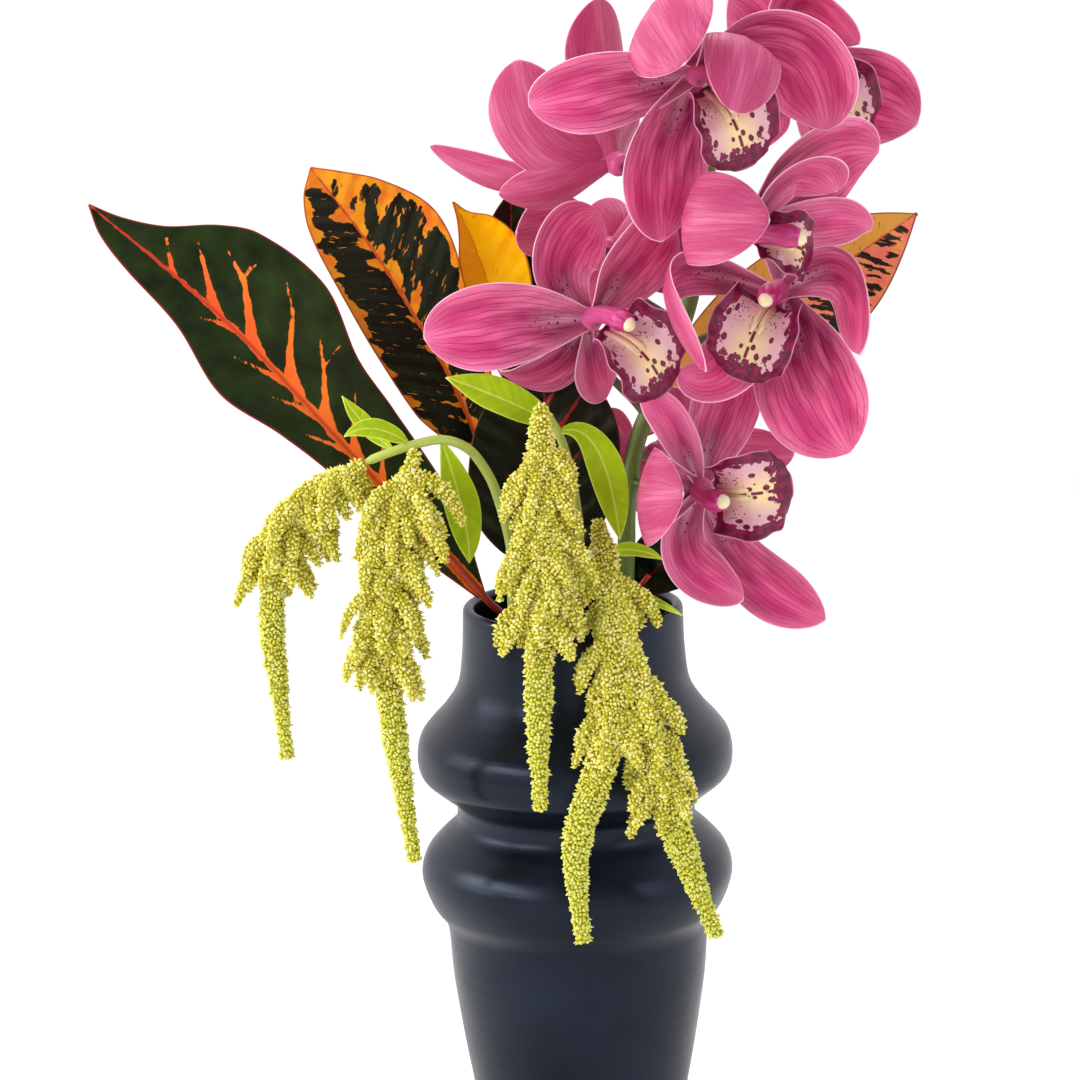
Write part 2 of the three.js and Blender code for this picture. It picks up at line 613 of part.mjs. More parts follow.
// Small leaves on the amaranth stems: the stem's number, the midline and the width.
const AMARANTH_LEAVES = [
  { stem: 2, points: [[-5, -29, 290], [-20, -35, 300], [-46, -40, 312]], width: 15 },
  { stem: 2, points: [[-4, -28, 288], [10, -33, 282], [18, -37, 248]], width: 14 },
  { stem: 3, points: [[9.8, -21.5, 240], [24, -34, 243], [34, -42, 241]], width: 6 },
  { stem: 3, points: [[11.5, -18, 227], [27, -44, 227], [41, -58, 223]], width: 5 },
  { stem: 1, points: [[-60, -41, 287], [-73, -50, 295], [-84, -54, 293]], width: 8 },
  { stem: 1, points: [[-66, -43, 285], [-77, -36, 294], [-85, -36, 305]], width: 7 },
  { stem: 1, points: [[-48, -38, 287], [-41, -36, 260], [-39, -32, 239]], width: 14 },
  { stem: 3, points: [[11, -20, 236], [-2, -46, 229], [-21, -54, 219]], width: 12 },
];

function amaranthLeaf({ points, width }) {
  return blade({
    points, facing: new THREE.Vector3(0, -0.8, 0.6), width, outline: petalOutline(0.12, 0.5, 1), fold: 15,
    thickness: SMALL_LEAF_THICKNESS, along: 4, across: 2,
  });
}

/**
 * Tassels of tiny florets: the line they hang along, the radius at the top, in the dense part and
 * at the tail's end, and the side branches between two shares of the length.
 */
const TASSELS = [
  {
    points: [[-77.6, -44.1, 280.6], [-90, -44, 274], [-102, -42, 265], [-110, -40, 247],
      [-114, -38, 220], [-112, -38, 192], [-110, -38, 166]],
    radius: [2, 7, 4.6, 2.2], branches: 9, span: [0.05, 0.42], reach: 16,
  },
  {
    points: [[-58, -43.9, 284.9], [-62, -52, 272], [-67, -54, 246], [-71, -54, 215], [-68, -54, 176],
      [-62, -54, 129]],
    radius: [2, 8, 4.6, 2.2], branches: 11, span: [0.05, 0.52], reach: 18,
  },
  {
    points: [[-10.3, -40.5, 298.3], [-11, -47, 298], [-11, -56, 272], [-11, -63, 243], [-13, -72, 216],
      [-14, -76, 187], [-14, -78, 155]],
    radius: [2, 9, 5, 2.4], branches: 11, span: [0.12, 0.56], reach: 17,
  },
  {
    points: [[10, -35.4, 253.4], [10.5, -43, 252], [14, -56, 229], [14, -72, 199], [8, -80, 170],
      [-1, -80, 140], [1, -80, 104]],
    radius: [2, 9.5, 5.6, 2.6], branches: 12, span: [0.16, 0.56], reach: 16,
    fork: [[14, -56, 226], [24, -72, 198], [31, -78, 165], [41, -78, 132], [51, -76, 104]],
  },
];

/** A repeatable sequence of numbers from 0 to 1. */
function sequence(seed) {
  let state = seed;
  return () => {
    state = (state * 1103515245 + 12345) % 2147483648;
    return state / 2147483648;
  };
}

function floretRope(points, radiusAt, sides, pitch) {
  const rings = Math.max(3, Math.round(curveThrough(points).getLength() / pitch));
  const relief = (ring, side) => (ring === 0 ? 1 : 1 + FLORET_RELIEF * ((ring + side) % 2 ? 1 : -1));
  return tube(points, (u, ring, side) => radiusAt(u) * relief(ring, side), sides, rings);
}

function tassel({ points, radius, branches, span, reach, fork }, index) {
  const [top, dense, tail, end] = radius;
  const [, last] = span;
  const shape = easedThrough([
    [0, top], [0.12, dense * 0.8], [last * 0.8, dense], [last + 0.12, tail], [1, end],
  ]);
  const ropes = [floretRope(points, shape, 8, FLORET_PITCH)];
  const lines = [curveThrough(points)];
  if (fork) {
    const forkShape = easedThrough([[0, dense * 0.7], [0.4, dense * 0.9], [0.65, tail], [1, end]]);
    ropes.push(floretRope(fork, forkShape, 8, FLORET_PITCH));
    lines.push(curveThrough(fork));
  }
  const next = sequence(index + 7);
  for (let branch = 0; branch < branches; branch += 1) {
    const share = (branch + 0.5) / branches;
    const u = span[0] + (span[1] - span[0]) * share;
    const root = lines[branch % lines.length].getPointAt(branch % lines.length ? u * 0.8 : u);
    const turn = branch * 2.4 + next();
    const length = reach * (0.7 + 0.5 * next());
    const outward = new THREE.Vector3(Math.cos(turn), Math.sin(turn) * 0.5 - 0.25, 0);
    const along = (out, down) => root.clone().addScaledVector(outward, length * out)
      .add(new THREE.Vector3(0, 0, -length * down));
    ropes.push(floretRope([root, along(0.65, 0.25), along(1, 0.9)], (v) => 4.3 - 1.8 * v, 4, 6));
  }
  return joined(ropes);
}

// ---------------------------------------------------------------- assembly

place('vase', vase(), MATERIALS.ceramic);
place('water', water(Object.values(STEMS).map(stemHole)), MATERIALS.water);

Object.entries(STEMS).forEach(([name, stem]) => {
  const parts = [stemTube(stem)];
  if (name === 'orchid_spike') parts.push(...FLOWERS.map(pedicel));
  AMARANTH_LEAVES.filter((leaf) => name === `amaranth_stem_${leaf.stem}`)
    .forEach((leaf) => parts.push(amaranthLeaf(leaf)));
  place(name, joined(parts), stem.material);
});

FLOWERS.forEach((spec, i) => {
  place(`orchid_flower_${i + 1}`, flower(spec), MATERIALS.petal);
  place(`orchid_lip_${i + 1}`, lip(spec), MATERIALS.lip);
});

CROTON_LEAVES.forEach((leaf, i) => place(`croton_leaf_${i + 1}`, crotonLeaf(leaf), leaf.material));
TASSELS.forEach((spec, i) => place(`amaranth_tassel_${i + 1}`, tassel(spec, i), MATERIALS.florets));

export default arrangement;
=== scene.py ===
"""The looks of an arrangement of pink boat orchids, croton leaves and hanging amaranth in a black vase.

Sizes are millimetres in the frame of the solids, +Z up and -Y towards the viewer, and turn into
metres when a mesh is made.
"""
from __future__ import annotations

import logging
import math
from dataclasses import dataclass, field
from enum import Enum
from functools import partial
from typing import Callable, ClassVar, Sequence

import bpy
import numpy as np
from mathutils import Matrix, Vector


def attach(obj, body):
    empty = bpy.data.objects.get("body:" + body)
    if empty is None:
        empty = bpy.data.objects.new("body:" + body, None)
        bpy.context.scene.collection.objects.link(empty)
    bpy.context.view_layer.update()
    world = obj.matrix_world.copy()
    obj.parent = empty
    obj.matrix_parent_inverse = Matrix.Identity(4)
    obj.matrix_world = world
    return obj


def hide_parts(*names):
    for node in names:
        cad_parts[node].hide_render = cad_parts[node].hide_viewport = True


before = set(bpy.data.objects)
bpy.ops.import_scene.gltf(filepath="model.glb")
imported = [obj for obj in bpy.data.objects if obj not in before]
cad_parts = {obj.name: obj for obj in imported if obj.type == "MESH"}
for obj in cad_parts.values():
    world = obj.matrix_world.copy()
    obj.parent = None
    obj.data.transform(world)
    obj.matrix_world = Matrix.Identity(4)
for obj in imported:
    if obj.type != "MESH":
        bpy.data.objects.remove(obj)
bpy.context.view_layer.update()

log = logging.getLogger("arrangement")

MM = 0.001
BODY = "root"
CUT = "cut"  # the painted place: on a leaf or petal laid flat, or across and along a stalk

Array = np.ndarray
Point = tuple[float, float, float]
Shape = Callable[[Array], Array]
Pairs = tuple[tuple[float, float], ...]


# ------------------------------------------------------------------ lines and surfaces


def eased(pairs: Pairs) -> Shape:
    """A line that eases between (u, value) pairs.

    Args:
        pairs: The places and the values there, in order.

    Returns:
        A function from places to values.
    """
    places, values = (np.array(column, float) for column in zip(*pairs))

    def at(u: Array) -> Array:
        """The value at each place."""
        after = np.clip(np.searchsorted(places, u), 1, len(places) - 1)
        share = np.clip((u - places[after - 1]) / (places[after] - places[after - 1]), 0, 1)
        low, high = values[after - 1], values[after]
        return low + (high - low) * (1 - np.cos(math.pi * share)) / 2

    return at


def smoothed(pairs: Pairs) -> Shape:
    """A smooth line through (u, value) pairs.

    Args:
        pairs: The places and the values there, in order.

    Returns:
        A function from places to values.
    """
    places, values = (np.array(column, float) for column in zip(*pairs))
    before = np.maximum(np.arange(len(places)) - 1, 0)
    behind = np.minimum(np.arange(len(places)) + 1, len(places) - 1)
    slopes = (values[behind] - values[before]) / (places[behind] - places[before])

    def at(u: Array) -> Array:
        """The value at each place."""
        after = np.clip(np.searchsorted(places, u), 1, len(places) - 1)
        span = places[after] - places[after - 1]
        share = (u - places[after - 1]) / span
        rest = 1 - share
        low = (values[after - 1] * (1 + 2 * share) + slopes[after - 1] * span * share) * rest**2
        return low + (values[after] * (1 + 2 * rest) - slopes[after] * span * rest) * share**2

    return at


def petal_outline(claw: float, widest: float, taper: float) -> Shape:
    """Share of the greatest width along a petal or leaf.

    Args:
        claw: The share at its foot.
        widest: Where it is widest.
        taper: How gradually it closes to its point.

    Returns:
        A function from places along the midline to shares.
    """

    def at(u: Array) -> Array:
        """The share at each place."""
        swell = claw + (1 - claw) * np.sin(np.clip(u / widest, 0, 1) * math.pi / 2)
        beyond = np.clip((u - widest) / (1 - widest), 0, 1)
        closing = np.maximum(0.03, (1 - beyond**2.2) ** taper)
        return np.where(u < widest, swell, closing)

    return at


def smooth_line(points: Sequence[Point] | Array, count: int) -> Array:
    """Evenly spaced places on a smooth line through the points.

    Args:
        points: Three points for a parabola, or more for a spline.
        count: How many places.

    Returns:
        The places, one a row.
    """
    knots = np.asarray(points, float)
    if len(knots) == 3:
        t = np.linspace(0, 1, 401)[:, None]
        control = 2 * knots[1] - (knots[0] + knots[2]) / 2
        dense = (1 - t) ** 2 * knots[0] + 2 * t * (1 - t) * control + t**2 * knots[2]
    else:
        padded = np.vstack([2 * knots[0] - knots[1], knots, 2 * knots[-1] - knots[-2]])
        t = np.linspace(0, 1, 40, endpoint=False)[:, None]
        spans = [
            0.5
            * (2 * b + (c - a) * t + (2 * a - 5 * b + 4 * c - d) * t**2 + (3 * b - a - 3 * c + d) * t**3)
            for a, b, c, d in zip(padded, padded[1:], padded[2:], padded[3:])
        ]
        dense = np.vstack([*spans, knots[-1:]])
    reach = np.concatenate([[0], np.cumsum(np.linalg.norm(np.diff(dense, axis=0), axis=1))])
    wanted = np.linspace(0, reach[-1], count)
    return np.stack([np.interp(wanted, reach, dense[:, axis]) for axis in range(3)], axis=1)


def unit(vectors: Array) -> Array:
    """The vectors at length 1."""
    return vectors / np.maximum(np.linalg.norm(vectors, axis=-1, keepdims=True), 1e-9)


def turns(sides: int) -> Array:
    """The angle of each of so many points round a circle."""
    return np.arange(sides) * math.tau / sides


def width_of(value: str) -> int:
    """How many numbers a painted value has: three for a place, one for the others."""
    return 3 if value == CUT else 1


@dataclass(frozen=True)
class Rail:
    """A line in space with a frame that never spins at each of its stations."""

    spots: Array
    normals: Array
    across: Array

    @classmethod
    def through(cls, points: Sequence[Point] | Array, stations: int, facing: Array | None = None) -> Rail:
        """A rail through the points.

        Args:
            points: What the line passes through.
            stations: How many stations it has.
            facing: Where its normals start, or None for any way square to the line.

        Returns:
            The rail.
        """
        spots = smooth_line(points, stations)
        tangents = unit(np.gradient(spots, axis=0))
        if facing is None:
            steep = abs(tangents[0][2]) > 0.9
            facing = np.array((0.0, -1.0, 0.0) if steep else (0.0, 0.0, 1.0))
        normals = np.empty_like(spots)
        normal = np.asarray(facing, float)
        for station, tangent in enumerate(tangents):
            normal = unit(normal - tangent * (normal @ tangent))
            normals[station] = normal
        return cls(spots, normals, np.cross(normals, tangents))

    @property
    def length(self) -> float:
        """The length of the line."""
        return float(np.linalg.norm(np.diff(self.spots, axis=0), axis=1).sum())


def grid_faces(rows: int, columns: int, wrap: bool = False) -> Array:
    """Four-cornered faces over a grid of points.

    Args:
        rows: Points along the grid.
        columns: Points across it.
        wrap: Whether the last column joins the first.

    Returns:
        The corners' numbers, one face a row.
    """
    row = np.arange(rows - 1)[:, None] * columns
    column = np.arange(columns if wrap else columns - 1)[None, :]
    beside = (column + 1) % columns
    corners = (row + column, row + beside, row + columns + beside, row + columns + column)
    return np.stack([corner.ravel() for corner in corners], axis=1)


def tube_faces(rows: int, sides: int) -> list[Array]:
    """Faces of a closed tube: its points are its rings, then the middles of its two ends.

    Args:
        rows: How many rings.
        sides: Points in a ring.

    Returns:
        Its wall, its first end and its last end.
    """
    around = np.arange(sides)
    beside = (around + 1) % sides
    middle = np.full(sides, rows * sides)
    last = middle - sides
    foot = np.stack([beside, around, middle], axis=1)
    top = np.stack([last + around, last + beside, middle + 1], axis=1)
    return [grid_faces(rows, sides, wrap=True), foot, top]


def placed(name: str, data: bpy.types.ID) -> bpy.types.Object:
    """Puts a mesh, a light or a camera in the scene as an object."""
    thing = bpy.data.objects.new(name, data)
    bpy.context.scene.collection.objects.link(thing)
    return thing


@dataclass
class Skin:
    """The points, faces and painted values of one piece while it is gathered."""

    points: list[Array] = field(default_factory=list)
    faces: list[Array] = field(default_factory=list)
    finishes: list[Array] = field(default_factory=list)
    values: list[dict[str, Array]] = field(default_factory=list)
    count: int = 0

    def add(self, points: Array, faces: Sequence[Array], finish: int = 0, **values: Array | float) -> None:
        """Adds points with their faces.

        Args:
            points: Places in millimetres.
            faces: Blocks of faces, each of one number of corners.
            finish: Which of the piece's finishes they wear.
            values: What is painted on each point, by name.
        """
        flat = points.reshape(-1, 3)
        for block in faces:
            self.faces.append(block + self.count)
            self.finishes.append(np.full(len(block), finish))
        shaped = {}
        for name, value in values.items():
            rows = np.asarray(value, float).reshape(-1, width_of(name))
            shaped[name] = np.broadcast_to(rows, (len(flat), width_of(name)))
        self.points.append(flat)
        self.values.append(shaped)
        self.count += len(flat)

    def piece(self, name: str, node: str, slot: str, finishes: Sequence[Finish]) -> None:
        """Makes the piece and puts it in place of its solid.

        Args:
            name: The piece's name.
            node: The solid that it stands for.
            slot: The record's material slot; not used.
            finishes: What it wears, in the order of their numbers.
        """
        mesh = bpy.data.meshes.new(name)
        corners = [block.tolist() for block in self.faces]
        mesh.from_pydata(np.vstack(self.points) * MM, [], [face for block in corners for face in block])
        for finish in finishes:
            mesh.materials.append(finish.material())
        mesh.polygons.foreach_set("material_index", np.concatenate(self.finishes).astype(np.int32))
        mesh.polygons.foreach_set("use_smooth", np.ones(len(mesh.polygons), bool))
        for value in sorted({key for block in self.values for key in block}):
            kind, part = ("FLOAT_VECTOR", "vector") if value == CUT else ("FLOAT", "value")
            rows = [
                block.get(value, np.zeros((len(points), width_of(value))))
                for block, points in zip(self.values, self.points)
            ]
            mesh.attributes.new(value, kind, "POINT").data.foreach_set(part, np.vstack(rows).ravel())
        mesh.update()
        thing = placed(name, mesh)
        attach(thing, BODY)
        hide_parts(node)
        log.info("%s: %d points, stands for %s", name, len(mesh.vertices), node)


def add_tube(
    skin: Skin, rail: Rail, radius: Array, sides: int, finish: int = 0, **values: Array | float
) -> None:
    """Adds a round closed tube.

    Args:
        skin: What it is added to.
        rail: Its middle line.
        radius: Its radius at each station, or at each point of each ring.
        sides: Points in a ring.
        finish: Which of the piece's finishes it wears.
        values: What is painted on it, one number for all or one a station.
    """
    turn, stations = turns(sides), len(rail.spots)
    size = np.broadcast_to(np.asarray(radius, float).reshape(stations, -1), (stations, sides))
    aside, upward = size * np.cos(turn), size * np.sin(turn)
    ring = (
        rail.spots[:, None]
        + rail.across[:, None] * aside[..., None]
        + rail.normals[:, None] * upward[..., None]
    )
    points = np.vstack([ring.reshape(-1, 3), rail.spots[:1], rail.spots[-1:]])
    reach = np.linspace(0, rail.length, stations)
    drawn = np.stack(np.broadcast_arrays(aside, upward, reach[:, None]), axis=-1)
    spread = {CUT: np.vstack([drawn.reshape(-1, 3), (0, 0, 0), (0, 0, reach[-1])])}
    for name, value in values.items():
        rows = np.broadcast_to(np.asarray(value, float).reshape(-1, 1), (stations, 1))
        spread[name] = np.vstack([np.repeat(rows, sides, axis=0), rows[:1], rows[-1:]])
    skin.add(points, tube_faces(stations, sides), finish, **spread)


def add_turned(
    skin: Skin, line: Array, sides: int, ends: tuple[float, float], wander: Array | float = 0.0
) -> None:
    """Adds a form turned about the Z axis and closed at both ends.

    Args:
        skin: What it is added to.
        line: The radius and height of each ring.
        sides: Points in a ring.
        ends: The heights of the middles of its two ends.
        wander: What is added to the radius at each point of each ring.
    """
    turn = turns(sides)
    radius, height = np.broadcast_arrays(line[:, :1] + wander + 0 * turn, line[:, 1:])
    rings = np.stack([radius * np.cos(turn), radius * np.sin(turn), height], axis=-1).reshape(-1, 3)
    skin.add(np.vstack([rings, *((0, 0, end) for end in ends)]), tube_faces(len(line), sides))


@dataclass(frozen=True)
class Blade:
    """The form of a thin petal or leaf; `halves` are its half widths, where its sides differ."""

    width: float
    outline: Shape
    cup: Shape = staticmethod(eased(((0, 0), (1, 0))))
    fold: float = 0.0
    wave: float = 0.0
    waves: float = 2.0
    uneven: float = 0.0
    groove: float = 0.0
    thickness: float = 0.8
    rows: int = 36
    columns: int = 20
    halves: tuple[Pairs, Pairs] | None = None
    paint: Callable[[Array, Array], dict[str, Array]] | None = None

    def half_width(self, u: Array, v: Array) -> Array:
        """Half the width at each place, in millimetres, for the side that v is on."""
        if self.halves:
            right, left = (smoothed(pairs)(u) for pairs in self.halves)
            return np.where(v < 0, right, left)
        return self.width / 2 * self.outline(u) * (1 + self.uneven * np.sign(v))

    def add(self, skin: Skin, points: Sequence[Point] | Array, facing: Array, finish: int = 0) -> None:
        """Adds the blade along a midline.

        Args:
            skin: What it is added to.
            points: What the midline passes through.
            facing: Where its upper face looks at its foot.
            finish: Which of the piece's finishes it wears.
        """
        rail = Rail.through(points, self.rows + 1, facing)
        u = np.linspace(0, 1, self.rows + 1)[:, None]
        v = np.sin(np.linspace(-1, 1, self.columns + 1) * math.pi / 2 * 0.8)[None, :]
        v = v / np.abs(v).max()
        half = self.half_width(u, v)
        turn = np.radians(self.cup(u))
        turn = np.where(np.abs(turn) < 0.01, 0.01, turn)
        side = half * np.sin(turn * v) / turn
        lift = half * (1 - np.cos(turn * v)) / turn
        share = half / (self.width / 2)
        ripple = np.sin(math.tau * self.waves * u + np.sign(v)) * v**2 * share * self.wave
        sunk = self.groove * np.exp(-((side / 1.6) ** 2)) * np.clip(1.1 - u, 0, 1)
        lift = lift + np.abs(side) * math.sin(math.radians(self.fold)) + ripple - sunk
        side = side * math.cos(math.radians(self.fold))
        middle = (
            rail.spots[:, None]
            + rail.across[:, None] * side[..., None]
            + rail.normals[:, None] * lift[..., None]
        )
        normals = unit(np.cross(np.gradient(middle, axis=0), np.gradient(middle, axis=1)))
        flesh = self.thickness / 2 * (0.3 + 0.7 * np.sqrt(1 - v**4)) * np.ones_like(u)
        upper = middle + normals * flesh[..., None]
        lower = middle - normals * flesh[..., None]
        rows, columns = middle.shape[:2]
        number = np.arange(rows * columns).reshape(rows, columns)
        edge = np.concatenate([number[:, 0], number[-1, 1:], number[-2::-1, -1], number[0, -2::-1]])
        under = rows * columns
        quads = grid_faces(rows, columns)
        rim = np.stack([edge[:-1], under + edge[:-1], under + edge[1:], edge[1:]], axis=1)
        length = rail.length
        cut = np.stack(np.broadcast_arrays(half * v, length * u, 0.0), axis=-1)
        margin = np.minimum(half * (1 - np.abs(v)), (1 - u) * length * 0.6)
        values = {"edge": margin, "along": u, "side": v}
        if self.paint:
            values |= self.paint(cut[..., 0], cut[..., 1])
        both = {
            name: np.tile(np.broadcast_to(value, half.shape).ravel(), 2) for name, value in values.items()
        }
        both |= {CUT: np.tile(cut.reshape(-1, 3), (2, 1)), "upper": np.repeat([1.0, 0.0], under)}
        skin.add(np.stack([upper, lower]), [quads[:, ::-1], quads + under, rim], finish, **both)


# ------------------------------------------------------------------ finishes


Socket = bpy.types.NodeSocket
Adder = Callable[..., Socket]  # add_node for one material
Inputs = dict[str, object]


@dataclass(frozen=True)
class Kind:
    """A kind of node: its type, its inputs in the order they are given, its output and its settings."""

    type: str
    inputs: tuple[int | str, ...] = (0, 1, 2, 3, 4)
    out: int = 0
    settings: tuple[tuple[str, str], ...] = ()


PLUS, MINUS, TIMES, TIMES_PLUS, SINE, ABSOLUTE, LARGER, ABOVE, BELOW = (
    Kind("ShaderNodeMath", settings=(("operation", operation),))
    for operation in (
        "ADD", "SUBTRACT", "MULTIPLY", "MULTIPLY_ADD", "SINE", "ABSOLUTE", "MAXIMUM", "GREATER_THAN",
        "LESS_THAN",
    )
)
STRETCH = Kind("ShaderNodeVectorMath", settings=(("operation", "MULTIPLY"),))
RANGE = Kind("ShaderNodeMapRange")
MIX = Kind("ShaderNodeMix", (0, 6, 7), 2, (("data_type", "RGBA"),))
NOISE = Kind("ShaderNodeTexNoise", ("Vector", "Scale", "Detail", "Roughness"))
CELLS = Kind("ShaderNodeTexVoronoi", ("Vector", "Scale", "Randomness"))
BUMP = Kind("ShaderNodeBump", ("Height", "Strength", "Distance"))
PAINTED = Kind("ShaderNodeAttribute")
PLACE = Kind("ShaderNodeTexCoord")
AXES, JOINED = Kind("ShaderNodeSeparateXYZ"), Kind("ShaderNodeCombineXYZ")
CHANNELS = Kind("ShaderNodeSeparateColor")
PLACE_OUT, VALUE_OUT = 1, 2  # of what is painted: a place, or a single value
OBJECT_OUT, COLOUR_OUT = 3, 1  # the place in the object's own frame; the colour of a cell
ALONG_OUT, UP_OUT = 1, 2  # the second and the third part of a place


def linear(colour: str) -> tuple[float, float, float, float]:
    """An sRGB colour such as #c8407e as linear red, green, blue and alpha."""
    shares = [int(colour[place : place + 2], 16) / 255 for place in (1, 3, 5)]
    bent = [share / 12.92 if share <= 0.04045 else ((share + 0.055) / 1.055) ** 2.4 for share in shares]
    return (bent[0], bent[1], bent[2], 1.0)


def add_node(
    tree: bpy.types.NodeTree, kind: Kind, *inputs: object, out: int | None = None, **settings: object
) -> Socket:
    """Adds a node with its settings and links.

    Args:
        tree: The nodes of the material or the world.
        kind: Which node.
        inputs: A number, a colour such as #c8407e or another node's output for each input in turn.
        out: The number of the output that is wanted, or None for the usual one.
        settings: The node's other settings.

    Returns:
        That output, or the first input of a node that has none.
    """
    node = tree.nodes.new(kind.type)
    for name, setting in (*kind.settings, *settings.items()):
        setattr(node, name, setting)
    for place, value in zip(kind.inputs, inputs):
        if isinstance(value, Socket):
            tree.links.new(value, node.inputs[place])
        else:
            node.inputs[place].default_value = linear(value) if isinstance(value, str) else value
    return node.outputs[kind.out if out is None else out] if node.outputs else node.inputs[0]


def soft(weight: float, radius: Point, scale: float) -> Inputs:
    """The shader's inputs for flesh that light sinks into.

    Args:
        weight: How much of the light sinks in.
        radius: How far red, green and blue light go in it, in metres.
        scale: What the radius is multiplied by.

    Returns:
        The inputs, by their names.
    """
    return {"Subsurface Weight": weight, "Subsurface Radius": radius, "Subsurface Scale": scale}


class Finish:
    """A surface as it looks; each finish paints the inputs of the shader in its own way."""

    name: str
    painted: ClassVar[tuple[str, ...]] = ()

    def paint(self, add: Adder, *painted: Socket) -> Inputs:
        """Paints the surface.

        Args:
            add: Adds a node to the material.
            painted: What is painted on the mesh, in the order in which the finish names it.

        Returns:
            The shader's inputs, by their names.
        """
        raise NotImplementedError

    def material(self) -> bpy.types.Material:
        """Makes the material, once for each finish."""
        made = bpy.data.materials.get(self.name)
        if made:
            return made
        made = bpy.data.materials.new(self.name)
        made.use_nodes = True
        made.node_tree.nodes.clear()
        add = partial(add_node, made.node_tree)
        painted = [
            add(PAINTED, out=PLACE_OUT if value == CUT else VALUE_OUT, attribute_name=value)
            for value in self.painted
        ]
        inputs = self.paint(add, *painted)
        shader = add(Kind("ShaderNodeBsdfPrincipled", tuple(inputs)), *inputs.values())
        add(Kind("ShaderNodeOutputMaterial", ("Surface",)), shader)
        return made


@dataclass(frozen=True)
class PetalSkin(Finish):
    """Orchid petal: soft, faintly waxy and slightly see-through, with fine veins along it."""

    name: str = "orchid_petal_grown"
    flesh: str = "#d4407a"
    deep: str = "#7a063e"
    pale: str = "#f090b4"
    back: str = "#b43e6a"
    vein: str = "#66083a"
    margin: str = "#f6c8da"
    blaze: str = "#e8a6bd"
    spot: str = "#5e0a34"
    veins: int = 6
    spot_mm: float = 2.1
    lit: float = 0.08
    painted = ("cut", "edge", "along", "side", "upper")

    def paint(
        self, add: Adder, cut: Socket, edge: Socket, along: Socket, side: Socket, upper: Socket
    ) -> Inputs:
        """The shader's inputs, painted in the tree."""
        # Light and deep flesh lie in soft bands along the petal, and pale streaks over them are a painted
        # sheen.
        banded = add(STRETCH, cut, (0.13, 0.03, 1))
        cloud = add(NOISE, banded, 1.0, 2.0)
        streaked = add(STRETCH, cut, (1.1, 0.05, 1))
        streak = add(NOISE, streaked, 1.0, 3.0)
        wander = add(NOISE, cut, 0.05, 1.0)
        drawn = add(TIMES_PLUS, wander, 0.32, side)
        wave = add(TIMES, drawn, self.veins * math.pi)
        sine = add(SINE, wave)
        ridge = add(ABSOLUTE, sine)
        line = add(RANGE, ridge, 0.03, 0.34, 1.0, 0.0)
        fade = add(RANGE, streak, 0.4, 0.56, 0.3, 1.0)
        inked = add(TIMES, line, fade)
        ink = add(TIMES, inked, 0.8)
        # Painted shade: the flesh deepens towards the heart, partly its own colour and partly the shade
        # where the petals crowd together.
        spread = add(RANGE, along, 0.05, 0.7, -1.0, 0.05)
        tint = add(TIMES_PLUS, cloud, 1.7, spread, use_clamp=True)
        body = add(MIX, tint, self.deep, self.flesh)
        light = add(TIMES_PLUS, streak, 0.5, cloud)
        # Painted sheen: pale streaks along the petal.
        sheen = add(RANGE, light, 0.68, 1.0, 0.0, 0.5)
        body = add(MIX, sheen, body, self.pale)
        outer = add(RANGE, edge, 0.0, 7.0, 0.4, 0.0)
        body = add(MIX, outer, body, self.pale)
        middle = add(ABSOLUTE, side)
        strip = add(RANGE, middle, 0.08, 0.34, 1.0, 0.0)
        foot = add(RANGE, along, 0.12, 0.4, 1.0, 0.0)
        blaze = add(TIMES, strip, foot)
        blazed = add(TIMES, blaze, 0.6)
        body = add(MIX, blazed, body, self.blaze)
        body = add(MIX, ink, body, self.vein)
        dots = add(CELLS, cut, 1 / self.spot_mm, 0.9)
        dot = add(RANGE, dots, 0.24, 0.3, 1.0, 0.0)
        wide = add(RANGE, blaze, 0.02, 0.3, 0.0, 1.0)
        dotted = add(TIMES, dot, wide)
        body = add(MIX, dotted, body, self.spot)
        # The back gets a fainter painted sheen.
        back_sheen = add(RANGE, light, 0.66, 1.0, 0.0, 0.45)
        behind = add(MIX, back_sheen, self.back, self.pale)
        faint = add(TIMES, ink, 0.4)
        behind = add(MIX, faint, behind, self.vein)
        colour = add(MIX, upper, behind, body)
        rim = add(RANGE, edge, 0.08, 0.42, 0.8, 0.0)
        colour = add(MIX, rim, colour, self.margin)
        height = add(TIMES_PLUS, line, -0.6, streak)
        bump = add(BUMP, height, 0.35, 0.0004)
        return {
            "Base Color": colour,
            "Roughness": 0.4,
            "IOR": 1.44,
            "Specular Tint": self.margin,
            **soft(0.14, (0.004, 0.0012, 0.0016), 0.8),
            # Daylight comes through a petal, so it gives off a little light of its own colour.
            "Emission Color": colour,
            "Emission Strength": self.lit,
            "Normal": bump,
        }


